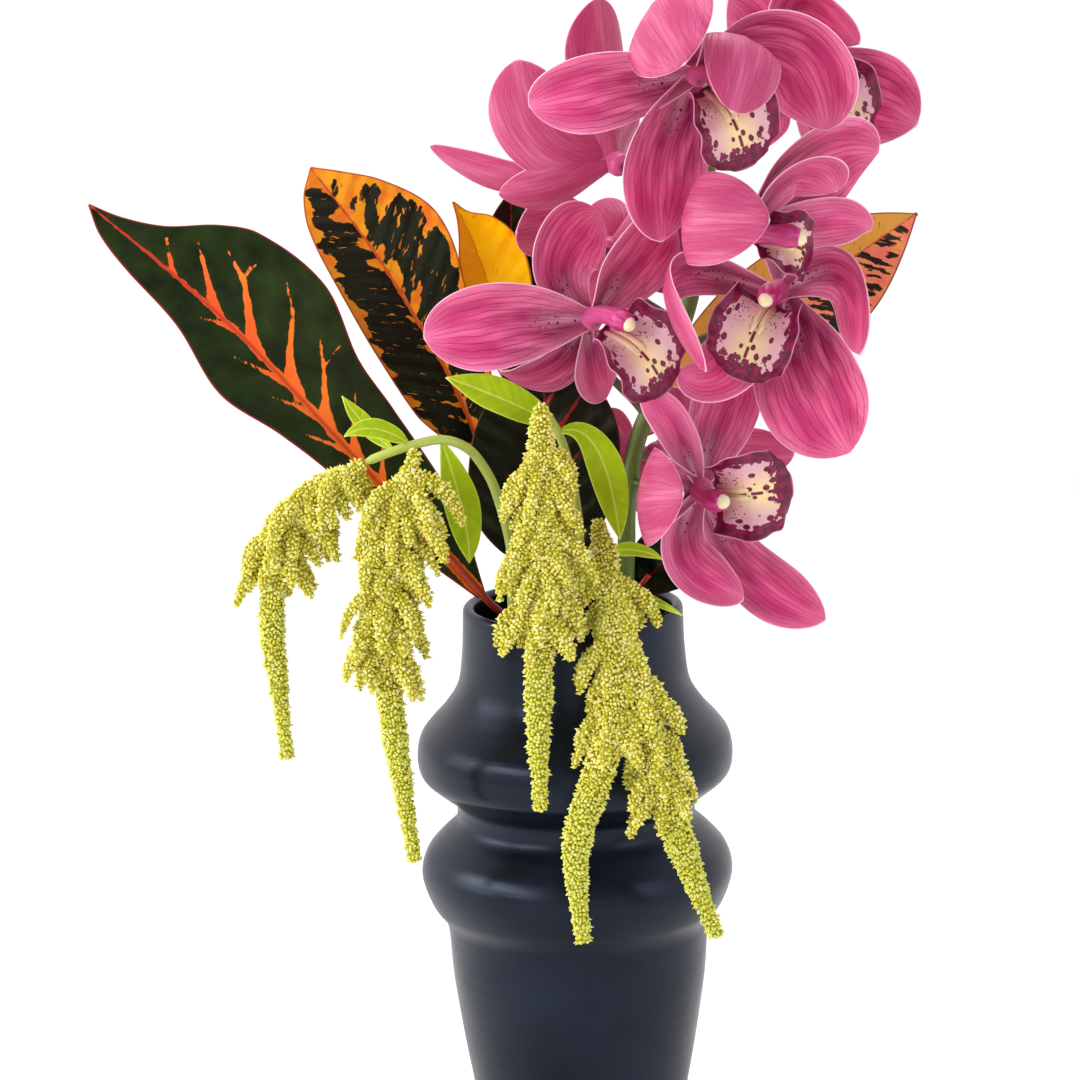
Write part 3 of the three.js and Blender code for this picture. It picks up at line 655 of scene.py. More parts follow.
@dataclass(frozen=True)
class LipSkin(Finish):
    """Orchid lip: cream flesh with maroon spots, a ragged maroon border and a dashed midline."""

    name: str = "orchid_lip_grown"
    cream: str = "#dcaab4"
    glow: str = "#f0d69c"
    border: str = "#60042c"
    bright: str = "#900a4c"
    back: str = "#a83468"
    margin: str = "#d890ae"
    border_mm: float = 5.0
    spot_mm: float = 2.9
    painted = ("cut", "edge", "along", "upper")

    def paint(self, add: Adder, cut: Socket, edge: Socket, along: Socket, upper: Socket) -> Inputs:
        """The shader's inputs, painted in the tree."""
        ragged = add(NOISE, cut, 0.42, 3.0)
        lobes = add(RANGE, along, 0.1, 0.42, -2.5, 0.0)
        inward = add(PLUS, edge, lobes)
        bite = add(TIMES_PLUS, ragged, -8.0, inward)
        low = self.border_mm - 4.0
        rim = add(RANGE, bite, low - 0.2, low + 0.2, 1.0, 0.0)
        parts = add(AXES, cut)
        aside = add(ABSOLUTE, parts)
        glow = add(RANGE, aside, 2.0, 10.0, 1.0, 0.0)
        lower = add(RANGE, along, 0.38, 0.62, 0.2, 1.0)
        glowing = add(TIMES, glow, lower)
        body = add(MIX, glowing, self.cream, self.glow)
        warped = add(STRETCH, cut, (1.0, 0.8, 1.0))
        dots = add(CELLS, warped, 1 / self.spot_mm, 0.85)
        shade = add(CELLS, warped, 1 / self.spot_mm, 0.85, out=COLOUR_OUT)
        size = add(RANGE, inward, 6.0, 14.0, 0.42, 0.24)
        chance = add(CHANNELS, shade)
        kept = add(BELOW, chance, 0.9)
        over = add(MINUS, size, dots)
        dot = add(RANGE, over, -0.02, 0.03, 0.0, 1.0)
        dotted = add(TIMES, dot, kept)
        # Fine specks crowd in the throat, under the column.
        specks = add(CELLS, cut, 0.75, 1.0)
        speck = add(RANGE, specks, 0.24, 0.32, 0.9, 0.0)
        throat = add(RANGE, along, 0.42, 0.52, 1.0, 0.0)
        specked = add(TIMES, speck, throat)
        dashes = add(STRETCH, cut, (0.0, 0.16, 1.0))
        dash = add(NOISE, dashes, 1.0, 0.0)
        dashed = add(RANGE, dash, 0.44, 0.47, 0.0, 1.0)
        centre = add(RANGE, aside, 0.5, 0.75, 1.0, 0.0)
        midline = add(TIMES, centre, dashed)
        marks = add(LARGER, dotted, midline)
        marks = add(LARGER, marks, specked)
        marks = add(LARGER, marks, rim)
        tinge = add(RANGE, ragged, 0.44, 0.66)
        inked = add(MIX, tinge, self.border, self.bright)
        body = add(MIX, marks, body, inked)
        colour = add(MIX, upper, self.back, body)
        thin = add(RANGE, edge, 0.15, 0.5, 0.8, 0.0)
        colour = add(MIX, thin, colour, self.margin)
        fine = add(NOISE, cut, 1.1, 3.0)
        bump = add(BUMP, fine, 0.3, 0.0005)
        return {
            "Base Color": colour,
            "Roughness": 0.42,
            "IOR": 1.42,
            **soft(0.15, (0.003, 0.0012, 0.0012), 0.6),
            "Normal": bump,
        }


@dataclass(frozen=True)
class Flesh(Finish):
    """Smooth plant flesh that changes colour along its length: columns, stalks and green stems."""

    name: str
    foot: str
    tip: str
    mottle: str
    roughness: float = 0.42
    ribs_mm: float = 1.2
    painted = ("along", "cut")

    def paint(self, add: Adder, along: Socket, cut: Socket) -> Inputs:
        """The shader's inputs, painted in the tree."""
        drawn = add(STRETCH, cut, (1.0, 1.0, 0.12))
        grain = add(NOISE, drawn, 1 / self.ribs_mm, 3.0)
        body = add(MIX, along, self.foot, self.tip)
        patch = add(RANGE, grain, 0.45, 0.75, 0.0, 0.6)
        colour = add(MIX, patch, body, self.mottle)
        bump = add(BUMP, grain, 0.3, 0.0003)
        return {
            "Base Color": colour,
            "Roughness": self.roughness,
            "IOR": 1.42,
            **soft(0.1, (0.002, 0.0015, 0.001), 0.5),
            "Normal": bump,
        }


@dataclass(frozen=True)
class CrotonSkin(Finish):
    """Croton leaf: thick and waxy, with a coloured midrib, side veins and blots between them.

    `blots` is how much they cover, and `tipward`, `bordered`, `between` and `beside` are how far they
    crowd to the tip, the margin, the middle between two side veins and the midrib. `stretch` is how a
    blot is drawn out, and `shaded_half` is the colour of the left half where it differs: painted shade,
    for that half is turned from the light.
    """

    name: str
    ground: str
    shade: str
    rib: str
    rib_tip: str
    blot: str
    margin: str
    rib_mm: float = 2.0
    vein_mm: float = 9.0
    blots: float = 0.0
    tipward: float = 0.0
    bordered: float = 0.0
    between: float = 0.0
    shaded_half: str = ""
    stretch: Point = (0.08, 0.2, 9.0)
    beside: float = 0.0
    glow: float = 0.0
    back: str = "#4a2c30"
    gleam: str = "#c4bc94"
    painted = ("cut", "edge", "along", "side", "upper", "ink")

    def paint(
        self, add: Adder, cut: Socket, edge: Socket, along: Socket, side: Socket, upper: Socket, ink: Socket
    ) -> Inputs:
        """The shader's inputs, painted in the tree."""
        across = add(AXES, cut)
        length = add(AXES, cut, out=ALONG_OUT)
        aside = add(ABSOLUTE, across)
        away = add(ABSOLUTE, side)
        which = add(ABOVE, side, 0.0)
        wander = add(NOISE, cut, 0.3, 3.0)
        tone = add(NOISE, cut, 0.07, 2.0)
        soft = add(RANGE, tone, 0.35, 0.65)
        body = add(MIX, soft, self.shade, self.ground)
        # Side veins leave the midrib forwards, at about 50 degrees to it.
        lean = add(TIMES_PLUS, aside, -0.85, length)
        drift = add(TIMES_PLUS, wander, 3.0, lean)
        turns = add(TIMES, drift, math.pi / self.vein_mm)
        sine = add(SINE, turns)
        furrow = add(ABSOLUTE, sine)
        if self.blots:
            flow = add(JOINED, aside, drift, which)
            squeezed = add(STRETCH, flow, self.stretch)
            cloud = add(NOISE, squeezed, 1.0, 3.0, 0.5)
            border = add(RANGE, edge, 1.0, 5.5, self.bordered, 0.0)
            ahead = add(RANGE, along, 0.45, 0.9, 0.0, self.tipward)
            pushed = add(PLUS, cloud, border)
            pushed = add(PLUS, pushed, ahead)
            inner = add(RANGE, aside, 0.5, 6.0, self.beside, 0.0)
            pushed = add(PLUS, pushed, inner)
            pushed = add(TIMES_PLUS, which, -self.beside * 0.5, pushed)
            pushed = add(TIMES_PLUS, furrow, -self.between, pushed)
            level = 0.7 - 0.36 * self.blots
            mask = add(RANGE, pushed, level, level + 0.02)
            thin = add(STRETCH, flow, (0.15, 0.8, 9.0))
            dashes = add(NOISE, thin, 1.0, 2.0)
            dash = add(RANGE, dashes, 0.66, 0.69, 0.0, 0.9)
            mask = add(LARGER, mask, dash)
            warm = add(NOISE, cut, 0.14, 1.0)
            turned = add(RANGE, warm, 0.4, 0.62)
            tinted = add(MIX, turned, self.blot, self.rib_tip)
            body = add(MIX, mask, body, tinted)
            # Painted shade: the left half, turned from the light, gets its own colour with a few dashes.
            if self.shaded_half:
                few = add(RANGE, dashes, 0.3, 0.33, 0.0, 1.0)
                flat = add(MIX, few, self.shade, self.shaded_half)
                body = add(MIX, which, body, flat)
        rough = add(TIMES_PLUS, wander, 1.6, ink)
        vein = add(RANGE, rough, 0.72, 0.98)
        thick = add(RANGE, along, 0.0, 1.0, self.rib_mm, 0.35)
        wobbled = add(TIMES_PLUS, wander, 1.6, thick)
        within = add(MINUS, wobbled, aside)
        midrib = add(RANGE, within, 0.72, 0.98)
        ribbed = add(LARGER, vein, midrib)
        out = add(RANGE, away, 0.02, 0.6)
        back = add(RANGE, along, 0.45, 0.9, 0.55, 0.0)
        mixed = add(PLUS, out, back, use_clamp=True)
        rib = add(MIX, mixed, self.rib, self.rib_tip)
        core = add(RANGE, aside, 0.3, 1.2, 0.5, 0.0)
        rib = add(MIX, core, rib, self.margin)
        body = add(MIX, ribbed, body, rib)
        # The underside is one dull colour, with its midrib and side veins standing out of it.
        spine = add(RANGE, wobbled, 0.0, 3.0, 0.4, 1.6)
        nearer = add(MINUS, spine, aside)
        keel = add(RANGE, nearer, 0.0, 0.3, 0.0, 0.7)
        branch = add(RANGE, furrow, 0.04, 0.18, 0.22, 0.0)
        standing = add(LARGER, keel, branch)
        behind = add(MIX, standing, self.back, self.rib)
        colour = add(MIX, upper, behind, body)
        rim = add(RANGE, edge, 0.3, 0.8, 1.0, 0.0)
        colour = add(MIX, rim, colour, self.margin)
        fine = add(NOISE, cut, 0.5, 3.0)
        swell = add(TIMES, sine, sine)
        height = add(TIMES_PLUS, fine, 0.2, swell)
        bump = add(BUMP, height, 0.4, 0.001)
        return {
            "Base Color": colour,
            "Roughness": 0.34,
            "IOR": 1.42,
            "Specular Tint": self.gleam,
            # Painted light: the yellow leaf gives off a little light of its own colour, standing in for
            # daylight through it.
            "Emission Color": colour,
            "Emission Strength": self.glow,
            "Normal": bump,
        }


@dataclass(frozen=True)
class HerbSkin(Finish):
    """Amaranth leaf: thin, soft and yellow-green, with pale veins."""

    name: str = "amaranth_leaf_grown"
    ground: str = "#b4c81c"
    shade: str = "#86a212"
    vein: str = "#d0d860"
    vein_mm: float = 4.5
    lit: float = 0.1
    painted = ("cut", "edge")

    def paint(self, add: Adder, cut: Socket, edge: Socket) -> Inputs:
        """The shader's inputs, painted in the tree."""
        across = add(AXES, cut)
        length = add(AXES, cut, out=ALONG_OUT)
        aside = add(ABSOLUTE, across)
        lean = add(TIMES_PLUS, aside, -0.9, length)
        turns = add(TIMES, lean, math.pi / self.vein_mm)
        sine = add(SINE, turns)
        near = add(ABSOLUTE, sine)
        line = add(RANGE, near, 0.0, 0.14, 0.35, 0.0)
        midrib = add(RANGE, aside, 0.25, 0.55, 0.8, 0.0)
        drawn = add(LARGER, line, midrib)
        cloud = add(NOISE, cut, 0.15, 2.0)
        body = add(MIX, cloud, self.shade, self.ground)
        colour = add(MIX, drawn, body, self.vein)
        rim = add(RANGE, edge, 0.1, 0.5, 0.7, 0.0)
        colour = add(MIX, rim, colour, self.vein)
        bump = add(BUMP, near, 0.4, 0.0005)
        return {
            "Base Color": colour,
            "Roughness": 0.45,
            "IOR": 1.42,
            **soft(0.2, (0.002, 0.003, 0.0008), 0.6),
            "Specular Tint": self.vein,
            # Daylight comes through the leaf too, so it gives off a little painted light of its own colour.
            "Emission Color": colour,
            "Emission Strength": self.lit,
            "Normal": bump,
        }


@dataclass(frozen=True)
class FloretSkin(Finish):
    """Amaranth florets: tiny papery buds, creamy at their tips and greener deep between them, where the
    darker tone is painted shade.
    """

    name: str = "amaranth_floret_grown"
    tip: str = "#faf0a2"
    body: str = "#dcd23c"
    deep: str = "#a09a1c"
    fresh: str = "#ccd850"
    painted = ("tone", "young")

    def paint(self, add: Adder, tone: Socket, young: Socket) -> Inputs:
        """The shader's inputs, painted in the tree."""
        # The tone carries painted shade: dark deep in the tassel, light at the buds' tips.
        low = add(RANGE, tone, 0.0, 0.5)
        high = add(RANGE, tone, 0.5, 1.0)
        colour = add(MIX, low, self.deep, self.body)
        colour = add(MIX, high, colour, self.tip)
        share = add(TIMES, young, 0.4)
        colour = add(MIX, share, colour, self.fresh)
        return {
            "Base Color": colour,
            "Roughness": 0.55,
            "IOR": 1.45,
            **soft(0.2, (0.001, 0.0012, 0.0004), 0.5),
        }


@dataclass(frozen=True)
class MattGlaze(Finish):
    """Thrown ceramic with a satin blue-black glaze: soft highlights and faint throwing lines."""

    name: str = "ceramic_satin_glazed"
    glaze: str = "#06080f"
    worn: str = "#161b28"
    gleam: str = "#c3d2f4"
    ring_mm: float = 3.2
    grit_mm: float = 0.7

    def paint(self, add: Adder) -> Inputs:
        """The shader's inputs, painted in the tree."""
        place = add(PLACE, out=OBJECT_OUT)
        cloud = add(NOISE, place, 28.0, 4.0)
        rings = add(STRETCH, place, (0.06, 0.06, 1.0))
        ring = add(NOISE, rings, 1 / (self.ring_mm * MM), 2.0)
        grit = add(NOISE, place, 1 / (self.grit_mm * MM), 2.0)
        share = add(RANGE, cloud, 0.4, 0.75, 0.0, 0.8)
        colour = add(MIX, share, self.glaze, self.worn)
        rough = add(RANGE, cloud, 0.3, 0.7, 0.25, 0.42)
        height = add(TIMES_PLUS, grit, 0.25, ring)
        bump = add(BUMP, height, 0.3, 0.0005)
        return {
            "Base Color": colour,
            "Roughness": rough,
            "IOR": 1.42,
            "Specular Tint": self.gleam,
            "Normal": bump,
        }


@dataclass(frozen=True)
class StillWater(Finish):
    """Clear water, seen through the mouth of the vase."""

    name: str = "water_still"
    tint: str = "#dfe8e4"

    def paint(self, add: Adder) -> Inputs:
        """The shader's inputs, painted in the tree."""
        place = add(PLACE, out=OBJECT_OUT)
        ripple = add(NOISE, place, 60.0, 1.0)
        bump = add(BUMP, ripple, 0.1, 0.0004)
        return {
            "Base Color": self.tint,
            "Roughness": 0.03,
            "IOR": 1.333,
            "Transmission Weight": 0.9,
            "Normal": bump,
        }


@dataclass(frozen=True)
class PlainPaint(Finish):
    """Pale painted board under the object."""

    name: str = "board_painted"
    colour: str = "#f4f4f3"

    def paint(self, add: Adder) -> Inputs:
        """The shader's inputs, painted in the tree."""
        return {"Base Color": self.colour, "Roughness": 0.7}


class Leafage(Enum):
    """The kinds of croton leaf in the arrangement."""

    DARK = CrotonSkin(
        "croton_leaf_dark", "#223214", "#121c0c", "#ea4224", "#f87a2a", "#26352a", "#8c1c26", 2.9, 16.0
    )
    MOTTLED = CrotonSkin(
        "croton_leaf_mottled", "#111914", "#080d0a", "#d24a30", "#ee7a22", "#f09a1c", "#b8501c", 1.5, 8.0,
        0.28, 0.1, 0.24, 0.03, "", (0.07, 0.12, 9.0), 0.13, back="#6a3a28",
    )
    YELLOW = CrotonSkin(
        "croton_leaf_yellow", "#ffca00", "#f6b400", "#c87a18", "#f8b800", "#e08c08", "#b0641c", 0.5, 8.0,
        0.08, 0.0, 0.1, 0.0, "#d8920c", glow=0.28, back="#c48a1c",
    )
    DUSK = CrotonSkin(
        "croton_leaf_dusk", "#0c130f", "#060907", "#a01a1e", "#7a1a20", "#161d18", "#4a141c", 0.6, 10.0
    )
    SALMON = CrotonSkin(
        "croton_leaf_salmon", "#26201e", "#171514", "#e0583c", "#f09a5c", "#f0806a", "#8c4a34", 0.5, 4.6,
        0.78, 0.02, 0.22, 0.16, "#dfa548", back="#94503a",
    )


# ------------------------------------------------------------------ vase and water


@dataclass
class Vase:
    """The waisted vase, turned about the Z axis."""

    outline: tuple[tuple[float, float], ...] = (
        (0, 38.7), (20, 41.8), (41, 45.5), (66, 49.2), (83, 50.5), (90, 52), (97, 57), (108, 60.6),
        (117, 58.5), (124, 52.5), (128.8, 47.4), (133, 46.2), (138, 47.4), (143, 53.8), (148.5, 59.8),
        (155.5, 61.3), (163, 60), (168.5, 56.2), (175, 50.4), (184, 45), (197, 43.1), (211, 42.5),
    )
    height: float = 215
    wall: float = 4.5
    floor: float = 6
    rounding: float = 2.2
    chamfer: Pairs = ((37.4, 0.0), (38.3, 0.3))
    wander: tuple[float, float] = (0.16, 0.1)
    sides: int = 144
    finish: Finish = MattGlaze()

    def wall_line(self, count: int = 150) -> Array:
        """The outside from the foot up.

        Args:
            count: How many places.

        Returns:
            Radius and height of each place.
        """
        knots = [(radius, 0.0, height) for height, radius in self.outline]
        return smooth_line(knots, count)[:, [0, 2]]

    def build(self) -> None:
        """Makes the vase in place of its solid."""
        outside = self.wall_line()
        middle = outside[-1, 0] - self.wall / 2
        bend = np.radians(np.linspace(170, 10, 9))
        top = self.height - self.rounding
        rim = np.stack([middle - self.rounding * np.cos(bend), top + self.rounding * np.sin(bend)], axis=1)
        inside = self.wall_line(60)
        inside = inside[inside[:, 1] > self.floor + 4][::-1] - (self.wall, 0)
        cove = np.array([(inside[-1, 0] - 1.5, self.floor + 1.5), (inside[-1, 0] - 6, self.floor)])
        line = np.vstack([self.chamfer, outside[1:], rim, inside, cove])
        turn = turns(self.sides)
        # A hand-thrown wall is never quite true: it wanders by a few tenths of a millimetre.
        twofold, threefold = self.wander
        wander = twofold * np.sin(2 * turn + 0.6) + threefold * np.sin(3 * turn + line[:, 1:] / 31)
        skin = Skin()
        add_turned(skin, line, self.sides, (0, self.floor), wander * np.clip(line[:, 1:] / 20, 0, 1))
        skin.piece("waisted_vase", "vase", "ceramic", [self.finish])


@dataclass
class Water:
    """The water in the vase, up to a slightly curled edge at the wall."""

    vase: Vase
    level: float = 117
    gap: float = 0.6
    sides: int = 96
    finish: Finish = StillWater()

    def build(self) -> None:
        """Makes the water in place of its solid."""
        wall = self.vase.wall_line(60)
        wall = wall[(wall[:, 1] > self.vase.floor + 1) & (wall[:, 1] < self.level)]
        inside = wall - (self.vase.wall + self.gap, 0)
        inside[0, 1] = self.vase.floor + 0.5
        curl = np.array([(inside[-1, 0] - 0.8, self.level - 0.2), (inside[-1, 0] - 2.6, self.level - 1.0)])
        line = np.vstack([(inside[0, 0] - 2, self.vase.floor + 0.4), inside, curl])
        skin = Skin()
        add_turned(skin, line, self.sides, (line[0, 1], self.level - 1.1))
        skin.piece("still_water", "water", "water", [self.finish])


# ------------------------------------------------------------------ orchid blooms


@dataclass(frozen=True)
class Tepal:
    """One sepal or petal: the middle and the tip of its midline, and its form."""

    middle: Point | None
    tip: Point | None
    width: float
    widest: float = 0.6
    around: float = 0.0
    length: float = 56.0
    back: float = 12.0
    cup: Pairs = ((0, 55), (0.35, 30), (1, 22))
    wave: float = 0.7


@dataclass
class Bloom:
    """One boat orchid bloom with its column and its lip; its stalk leaves the spike at `stalk` mm."""

    number: int
    heart: Point
    yaw: float
    pitch: float
    roll: float
    stalk: float
    tepals: tuple[Tepal, ...]
    lip_reach: float = 25
    lip_drop: float = 31
    lip_width: float = 37
    heart_radius: float = 4.6
    heart_depth: float = 7
    heart_front: float = 3
    column_length: float = 25
    petal_layer: float = 0
    sepal_layer: float = -3

    def __post_init__(self) -> None:
        """Works out where the bloom looks and where its crown points."""
        turn, tilt, lean = (math.radians(angle) for angle in (self.yaw, self.pitch, self.roll))
        self.front = np.array(
            (math.sin(turn) * math.cos(tilt), -math.cos(turn) * math.cos(tilt), math.sin(tilt))
        )
        upright = np.array((0.0, 0.0, 1.0))
        upright = unit(upright - self.front * self.front[2])
        right = np.cross(upright, self.front)
        self.crown = upright * math.cos(lean) - right * math.sin(lean)

    def at(self, forward: float, up: float) -> Array:
        """The place so far in front of the heart and so far towards the crown."""
        return np.array(self.heart) + self.front * forward + self.crown * up

    def midline(self, tepal: Tepal, order: int) -> list[Array]:
        """The points that a tepal's midline passes through.

        Args:
            tepal: The tepal.
            order: 0 for the top sepal, 1 and 2 for the petals, 3 and 4 for the side sepals.

        Returns:
            Its foot, middle and tip.
        """
        if tepal.middle is None:
            aside = -np.cross(self.crown, self.front)
            outward = self.crown * math.cos(math.radians(tepal.around))
            outward = outward + aside * math.sin(math.radians(tepal.around))
            middle, tip = (
                np.array(self.heart)
                + outward * tepal.length * share * math.cos(math.radians(angle))
                - self.front * tepal.length * share * math.sin(math.radians(angle))
                for share, angle in ((0.52, tepal.back * 0.6), (1.0, tepal.back))
            )
        else:
            middle, tip = np.array(tepal.middle), np.array(tepal.tip)
        start = self.at(self.petal_layer if order in (1, 2) else self.sepal_layer, 0)
        start = start + unit(middle - start) * self.heart_radius * 0.5
        return [start, middle, tip]

    def build_flower(self, petal: Finish, column: Finish, cap: Finish) -> None:
        """Makes the sepals, petals and column in place of the solid.

        Args:
            petal: What the sepals and petals wear.
            column: What the column wears.
            cap: What the cap at its end wears.
        """
        skin = Skin()
        depths = (-self.heart_depth, -2, self.heart_front)
        knob = Rail.through([self.at(depth, 0) for depth in depths], 14)
        u = np.linspace(0, 1, 14)
        rounded = np.sqrt(np.clip(1 - (2 * u - 1) ** 6, 0.02, 1))
        add_tube(skin, knob, self.heart_radius * rounded, 20, 1, along=0.0)
        arch = [self.at(0, 0.5), self.at(self.column_length / 2, 3.5), self.at(self.column_length, 1)]
        rail = Rail.through(arch, 26, self.crown)
        u = np.linspace(0, 1, 26)
        radius = eased(((0, 4.0), (0.5, 3.5), (0.84, 4.5), (0.96, 3.6), (1, 1.4)))(u)[:, None]
        turn = turns(24)
        # The underside of the column is hollowed, like the inside of a spoon.
        below = np.exp(-(((turn - 1.5 * math.pi) / 0.62) ** 2))
        hollow = 1 - 0.42 * below * np.clip(u * 1.6, 0, 1)[:, None]
        add_tube(skin, rail, radius * hollow, 24, 1, along=u)
        tip, down = rail.spots[-2], unit(self.at(1, -0.9) - self.at(0, 0))
        cap_rail = Rail.through([tip - down * 3.2, tip, tip + down * 3.0], 12, self.front)
        w = np.linspace(-1, 1, 12)
        add_tube(skin, cap_rail, 2.9 * np.sqrt(np.clip(1 - w**2, 0.01, 1)), 16, 2, along=0.5)
        for order, tepal in enumerate(self.tepals):
            form = Blade(
                tepal.width,
                petal_outline(0.28, tepal.widest, 0.62 if order in (1, 2) else 0.7),
                eased(tepal.cup),
                wave=tepal.wave,
                waves=1.6,
                groove=0.5,
                thickness=0.9,
                rows=34,
                columns=22,
            )
            form.add(skin, self.midline(tepal, order), self.front)
        name, node = f"orchid_bloom_{self.number}", f"orchid_flower_{self.number}"
        skin.piece(name, node, "petal", [petal, column, cap])

    def build_lip(self, finish: Finish, crest_finish: Finish) -> None:
        """Makes the lip, with its side lobes, waved front lobe and twin crest.

        Args:
            finish: What it wears.
            crest_finish: What its crest wears.
        """
        root = self.at(self.heart_front + 0.5, -self.heart_radius)
        points = [
            root,
            self.at(self.lip_reach * 0.9, -0.38 * self.lip_drop),
            self.at(self.lip_reach, -self.lip_drop),
        ]
        form = Blade(
            self.lip_width,
            eased(((0, 0.14), (0.32, 0.96), (0.5, 1), (0.78, 0.86), (0.93, 0.6), (1, 0.25))),
            eased(((0, 20), (0.32, 78), (0.52, 44), (0.78, -4), (1, -26))),
            wave=1.3,
            waves=4.2,
            thickness=0.9,
            rows=46,
            columns=34,
        )
        skin = Skin()
        form.add(skin, points, self.crown)
        rail = Rail.through(points, 40, self.crown)
        crest = slice(3, 22)
        for side in (-1, 1):
            spots = rail.spots[crest] + rail.across[crest] * side * 1.5 + rail.normals[crest] * 0.5
            u = np.linspace(0, 1, len(spots))
            ridge = Rail(spots, rail.normals[crest], rail.across[crest])
            height = 1.25 * np.sqrt(np.clip(1 - (2 * u - 1) ** 4, 0.01, 1)) + 0.2
            add_tube(skin, ridge, height, 12, 1, along=u)
        name, node = f"orchid_lip_fine_{self.number}", f"orchid_lip_{self.number}"
        skin.piece(name, node, "lip", [finish, crest_finish])


BLOOMS = (
    Bloom(
        1, (49, -40, 423), 25, -8, 17, 385,
        (
            Tepal((33, -50, 450), (43, -84, 432), 44, 0.64),
            Tepal((14, -52, 420), (-13, -50, 414), 31),
            Tepal((66, -60, 438), (60, -80, 414), 32),
            Tepal((35, -46, 391), (35, -50, 363), 38),
            Tepal((82, -38, 431), (97, -36, 401), 40),
        ),
    ),
    Bloom(
        2, (9, -22, 330), 35, 0, 30, 288,
        (
            Tepal((-2, -20, 351), (13, -8, 368), 30),
            Tepal((-23, -34, 331), (-54, -34, 326), 34),
            Tepal((29, -22, 356), (41, -10, 366), 33),
            Tepal((-8, -10, 310), (-26, -2, 307), 28),
            Tepal((9, -12, 309), (14, -6, 296), 20),
        ),
    ),
    Bloom(
        3, (80, -13, 337), -16, 0, -20, 312,
        (
            Tepal((88, 8, 350), (98, 24, 360), 26),
            Tepal((38, -33, 346.4), (50, -70, 318), 23),
            Tepal((104, -28, 345), (108, -44, 318), 26),
            Tepal((58, -26, 310), (42, -24, 311), 26),
            Tepal((91, -28, 304), (105, -34, 279), 44),
        ),
    ),
    Bloom(
        4, (65, -39, 363), 60, 0, 60, 338,
        (
            Tepal((43, -65, 374), (73, -84, 375), 36, 0.6),
            Tepal((57, -11, 355), (52, -2, 347), 13),
            Tepal((85, -38, 386), (101, -26, 377), 26),
            Tepal((101, -16, 364.5), (115, -8, 359), 20),
            Tepal((94, -20, 387), (118, -10, 389), 42),
        ),
        lip_reach=20, lip_drop=20, lip_width=28,
    ),
    Bloom(
        5, (49, -32, 266), 20, 0, 98, 262,
        (
            Tepal((25, -56, 269), (41, -78, 274), 38, 0.6),
            Tepal((42, -40, 242), (64, -46, 226), 24),
            Tepal((38, -34, 291), (27, -30, 303), 16),
            Tepal((67, -32, 233), (95, -44, 217), 25, 0.66),
            Tepal((58, -14, 294), (68, -2, 307), 30),
        ),
        lip_drop=27,
    ),
    Bloom(
        6, (18, 4, 386), -140, 15, 170, 358,
        (
            Tepal((15, 6, 420), (13, 2, 448), 32),
            Tepal((-7, -10, 398), (-17, 4, 425), 33),
            Tepal((-19, 7, 379), (-51, 20, 391), 17),
            Tepal((-6, -6, 377), (-25, -2, 375), 20),
            Tepal((24, 14, 393), (29, 24, 400), 16),
        ),
    ),
    Bloom(
        7, (17, 22, 350), 160, 0, -70, 322,
        (
            Tepal((-1, 15, 358), (-19, 6, 359), 29),
            Tepal((16, 28, 359), (11, 36, 365), 20),
            Tepal(None, None, 20, around=-70, length=36, back=8),
            Tepal(None, None, 18, around=130, length=34, back=20),
            Tepal(None, None, 18, around=-130, length=34, back=20),
        ),
    ),
    Bloom(
        8, (87, 14, 419), 30, 0, 25, 405,
        (
            Tepal((75, 18, 435), (63, 16, 445), 34),
            Tepal((77, 24, 402), (76, 34, 385), 22),
            Tepal((90, 10, 445), (112, 6, 428), 30),
            Tepal((97, 26, 398), (104, 36, 384), 22),
            Tepal((115, 12, 407), (134, 6, 397), 38),
        ),
    ),
    Bloom(
        9, (36, 20, 270), 144, 0, -60, 252,
        (
            Tepal((19, 16, 268), (9, 12, 288), 36),
            Tepal((27, 24, 258), (18, 24, 248), 20),
            Tepal((41, 14, 284), (38, 12, 297), 22),
            Tepal((46, 16, 255), (53, 14, 244), 18),
            Tepal((62, 15, 269), (87, 12, 270), 22),
        ),
        lip_reach=20, lip_drop=22, lip_width=26,
    ),
)


# ------------------------------------------------------------------ stems

FOOT = 6.5  # where each cut stem stands, just above the floor of the vase
RIB_DEPTH = 0.035  # of a ribbed stem, as a share of its radius
END_ROUNDING = 0.006  # the share of a stem's length over which its end closes


@dataclass
class Stem:
    """A stem that stands in the vase."""

    node: str
    points: tuple[Point, ...]
    radius: tuple[float, float]
    slot: str
    finish: Finish
    stations: int = 110
    sides: int = 20

    def place_at(self, height: float) -> Array:
        """The point of the stem's middle line at a height."""
        line = smooth_line(self.points, 600)
        return line[np.abs(line[:, 2] - height).argmin()]

    def radius_at(self, height: float) -> float:
        """The stem's radius at a height."""
        share = (height - FOOT) / (self.points[-1][2] - FOOT)
        return self.radius[0] + (self.radius[1] - self.radius[0]) * share

    def add(self, skin: Skin, ribs: int = 0) -> None:
        """Adds the stem itself.

        Args:
            skin: What it is added to.
            ribs: How many faint ribs run along it.
        """
        rail = Rail.through(self.points, self.stations)
        u = np.linspace(0, 1, self.stations)[:, None]
        turn = turns(self.sides)
        radius = self.radius[0] + (self.radius[1] - self.radius[0]) * u
        radius = radius * (1 + (RIB_DEPTH * np.sin(ribs * turn) if ribs else 0 * turn))
        end = np.clip((1 - u) / END_ROUNDING, 0.25, 1) ** 0.5
        add_tube(skin, rail, radius * end, self.sides, along=u[:, 0])


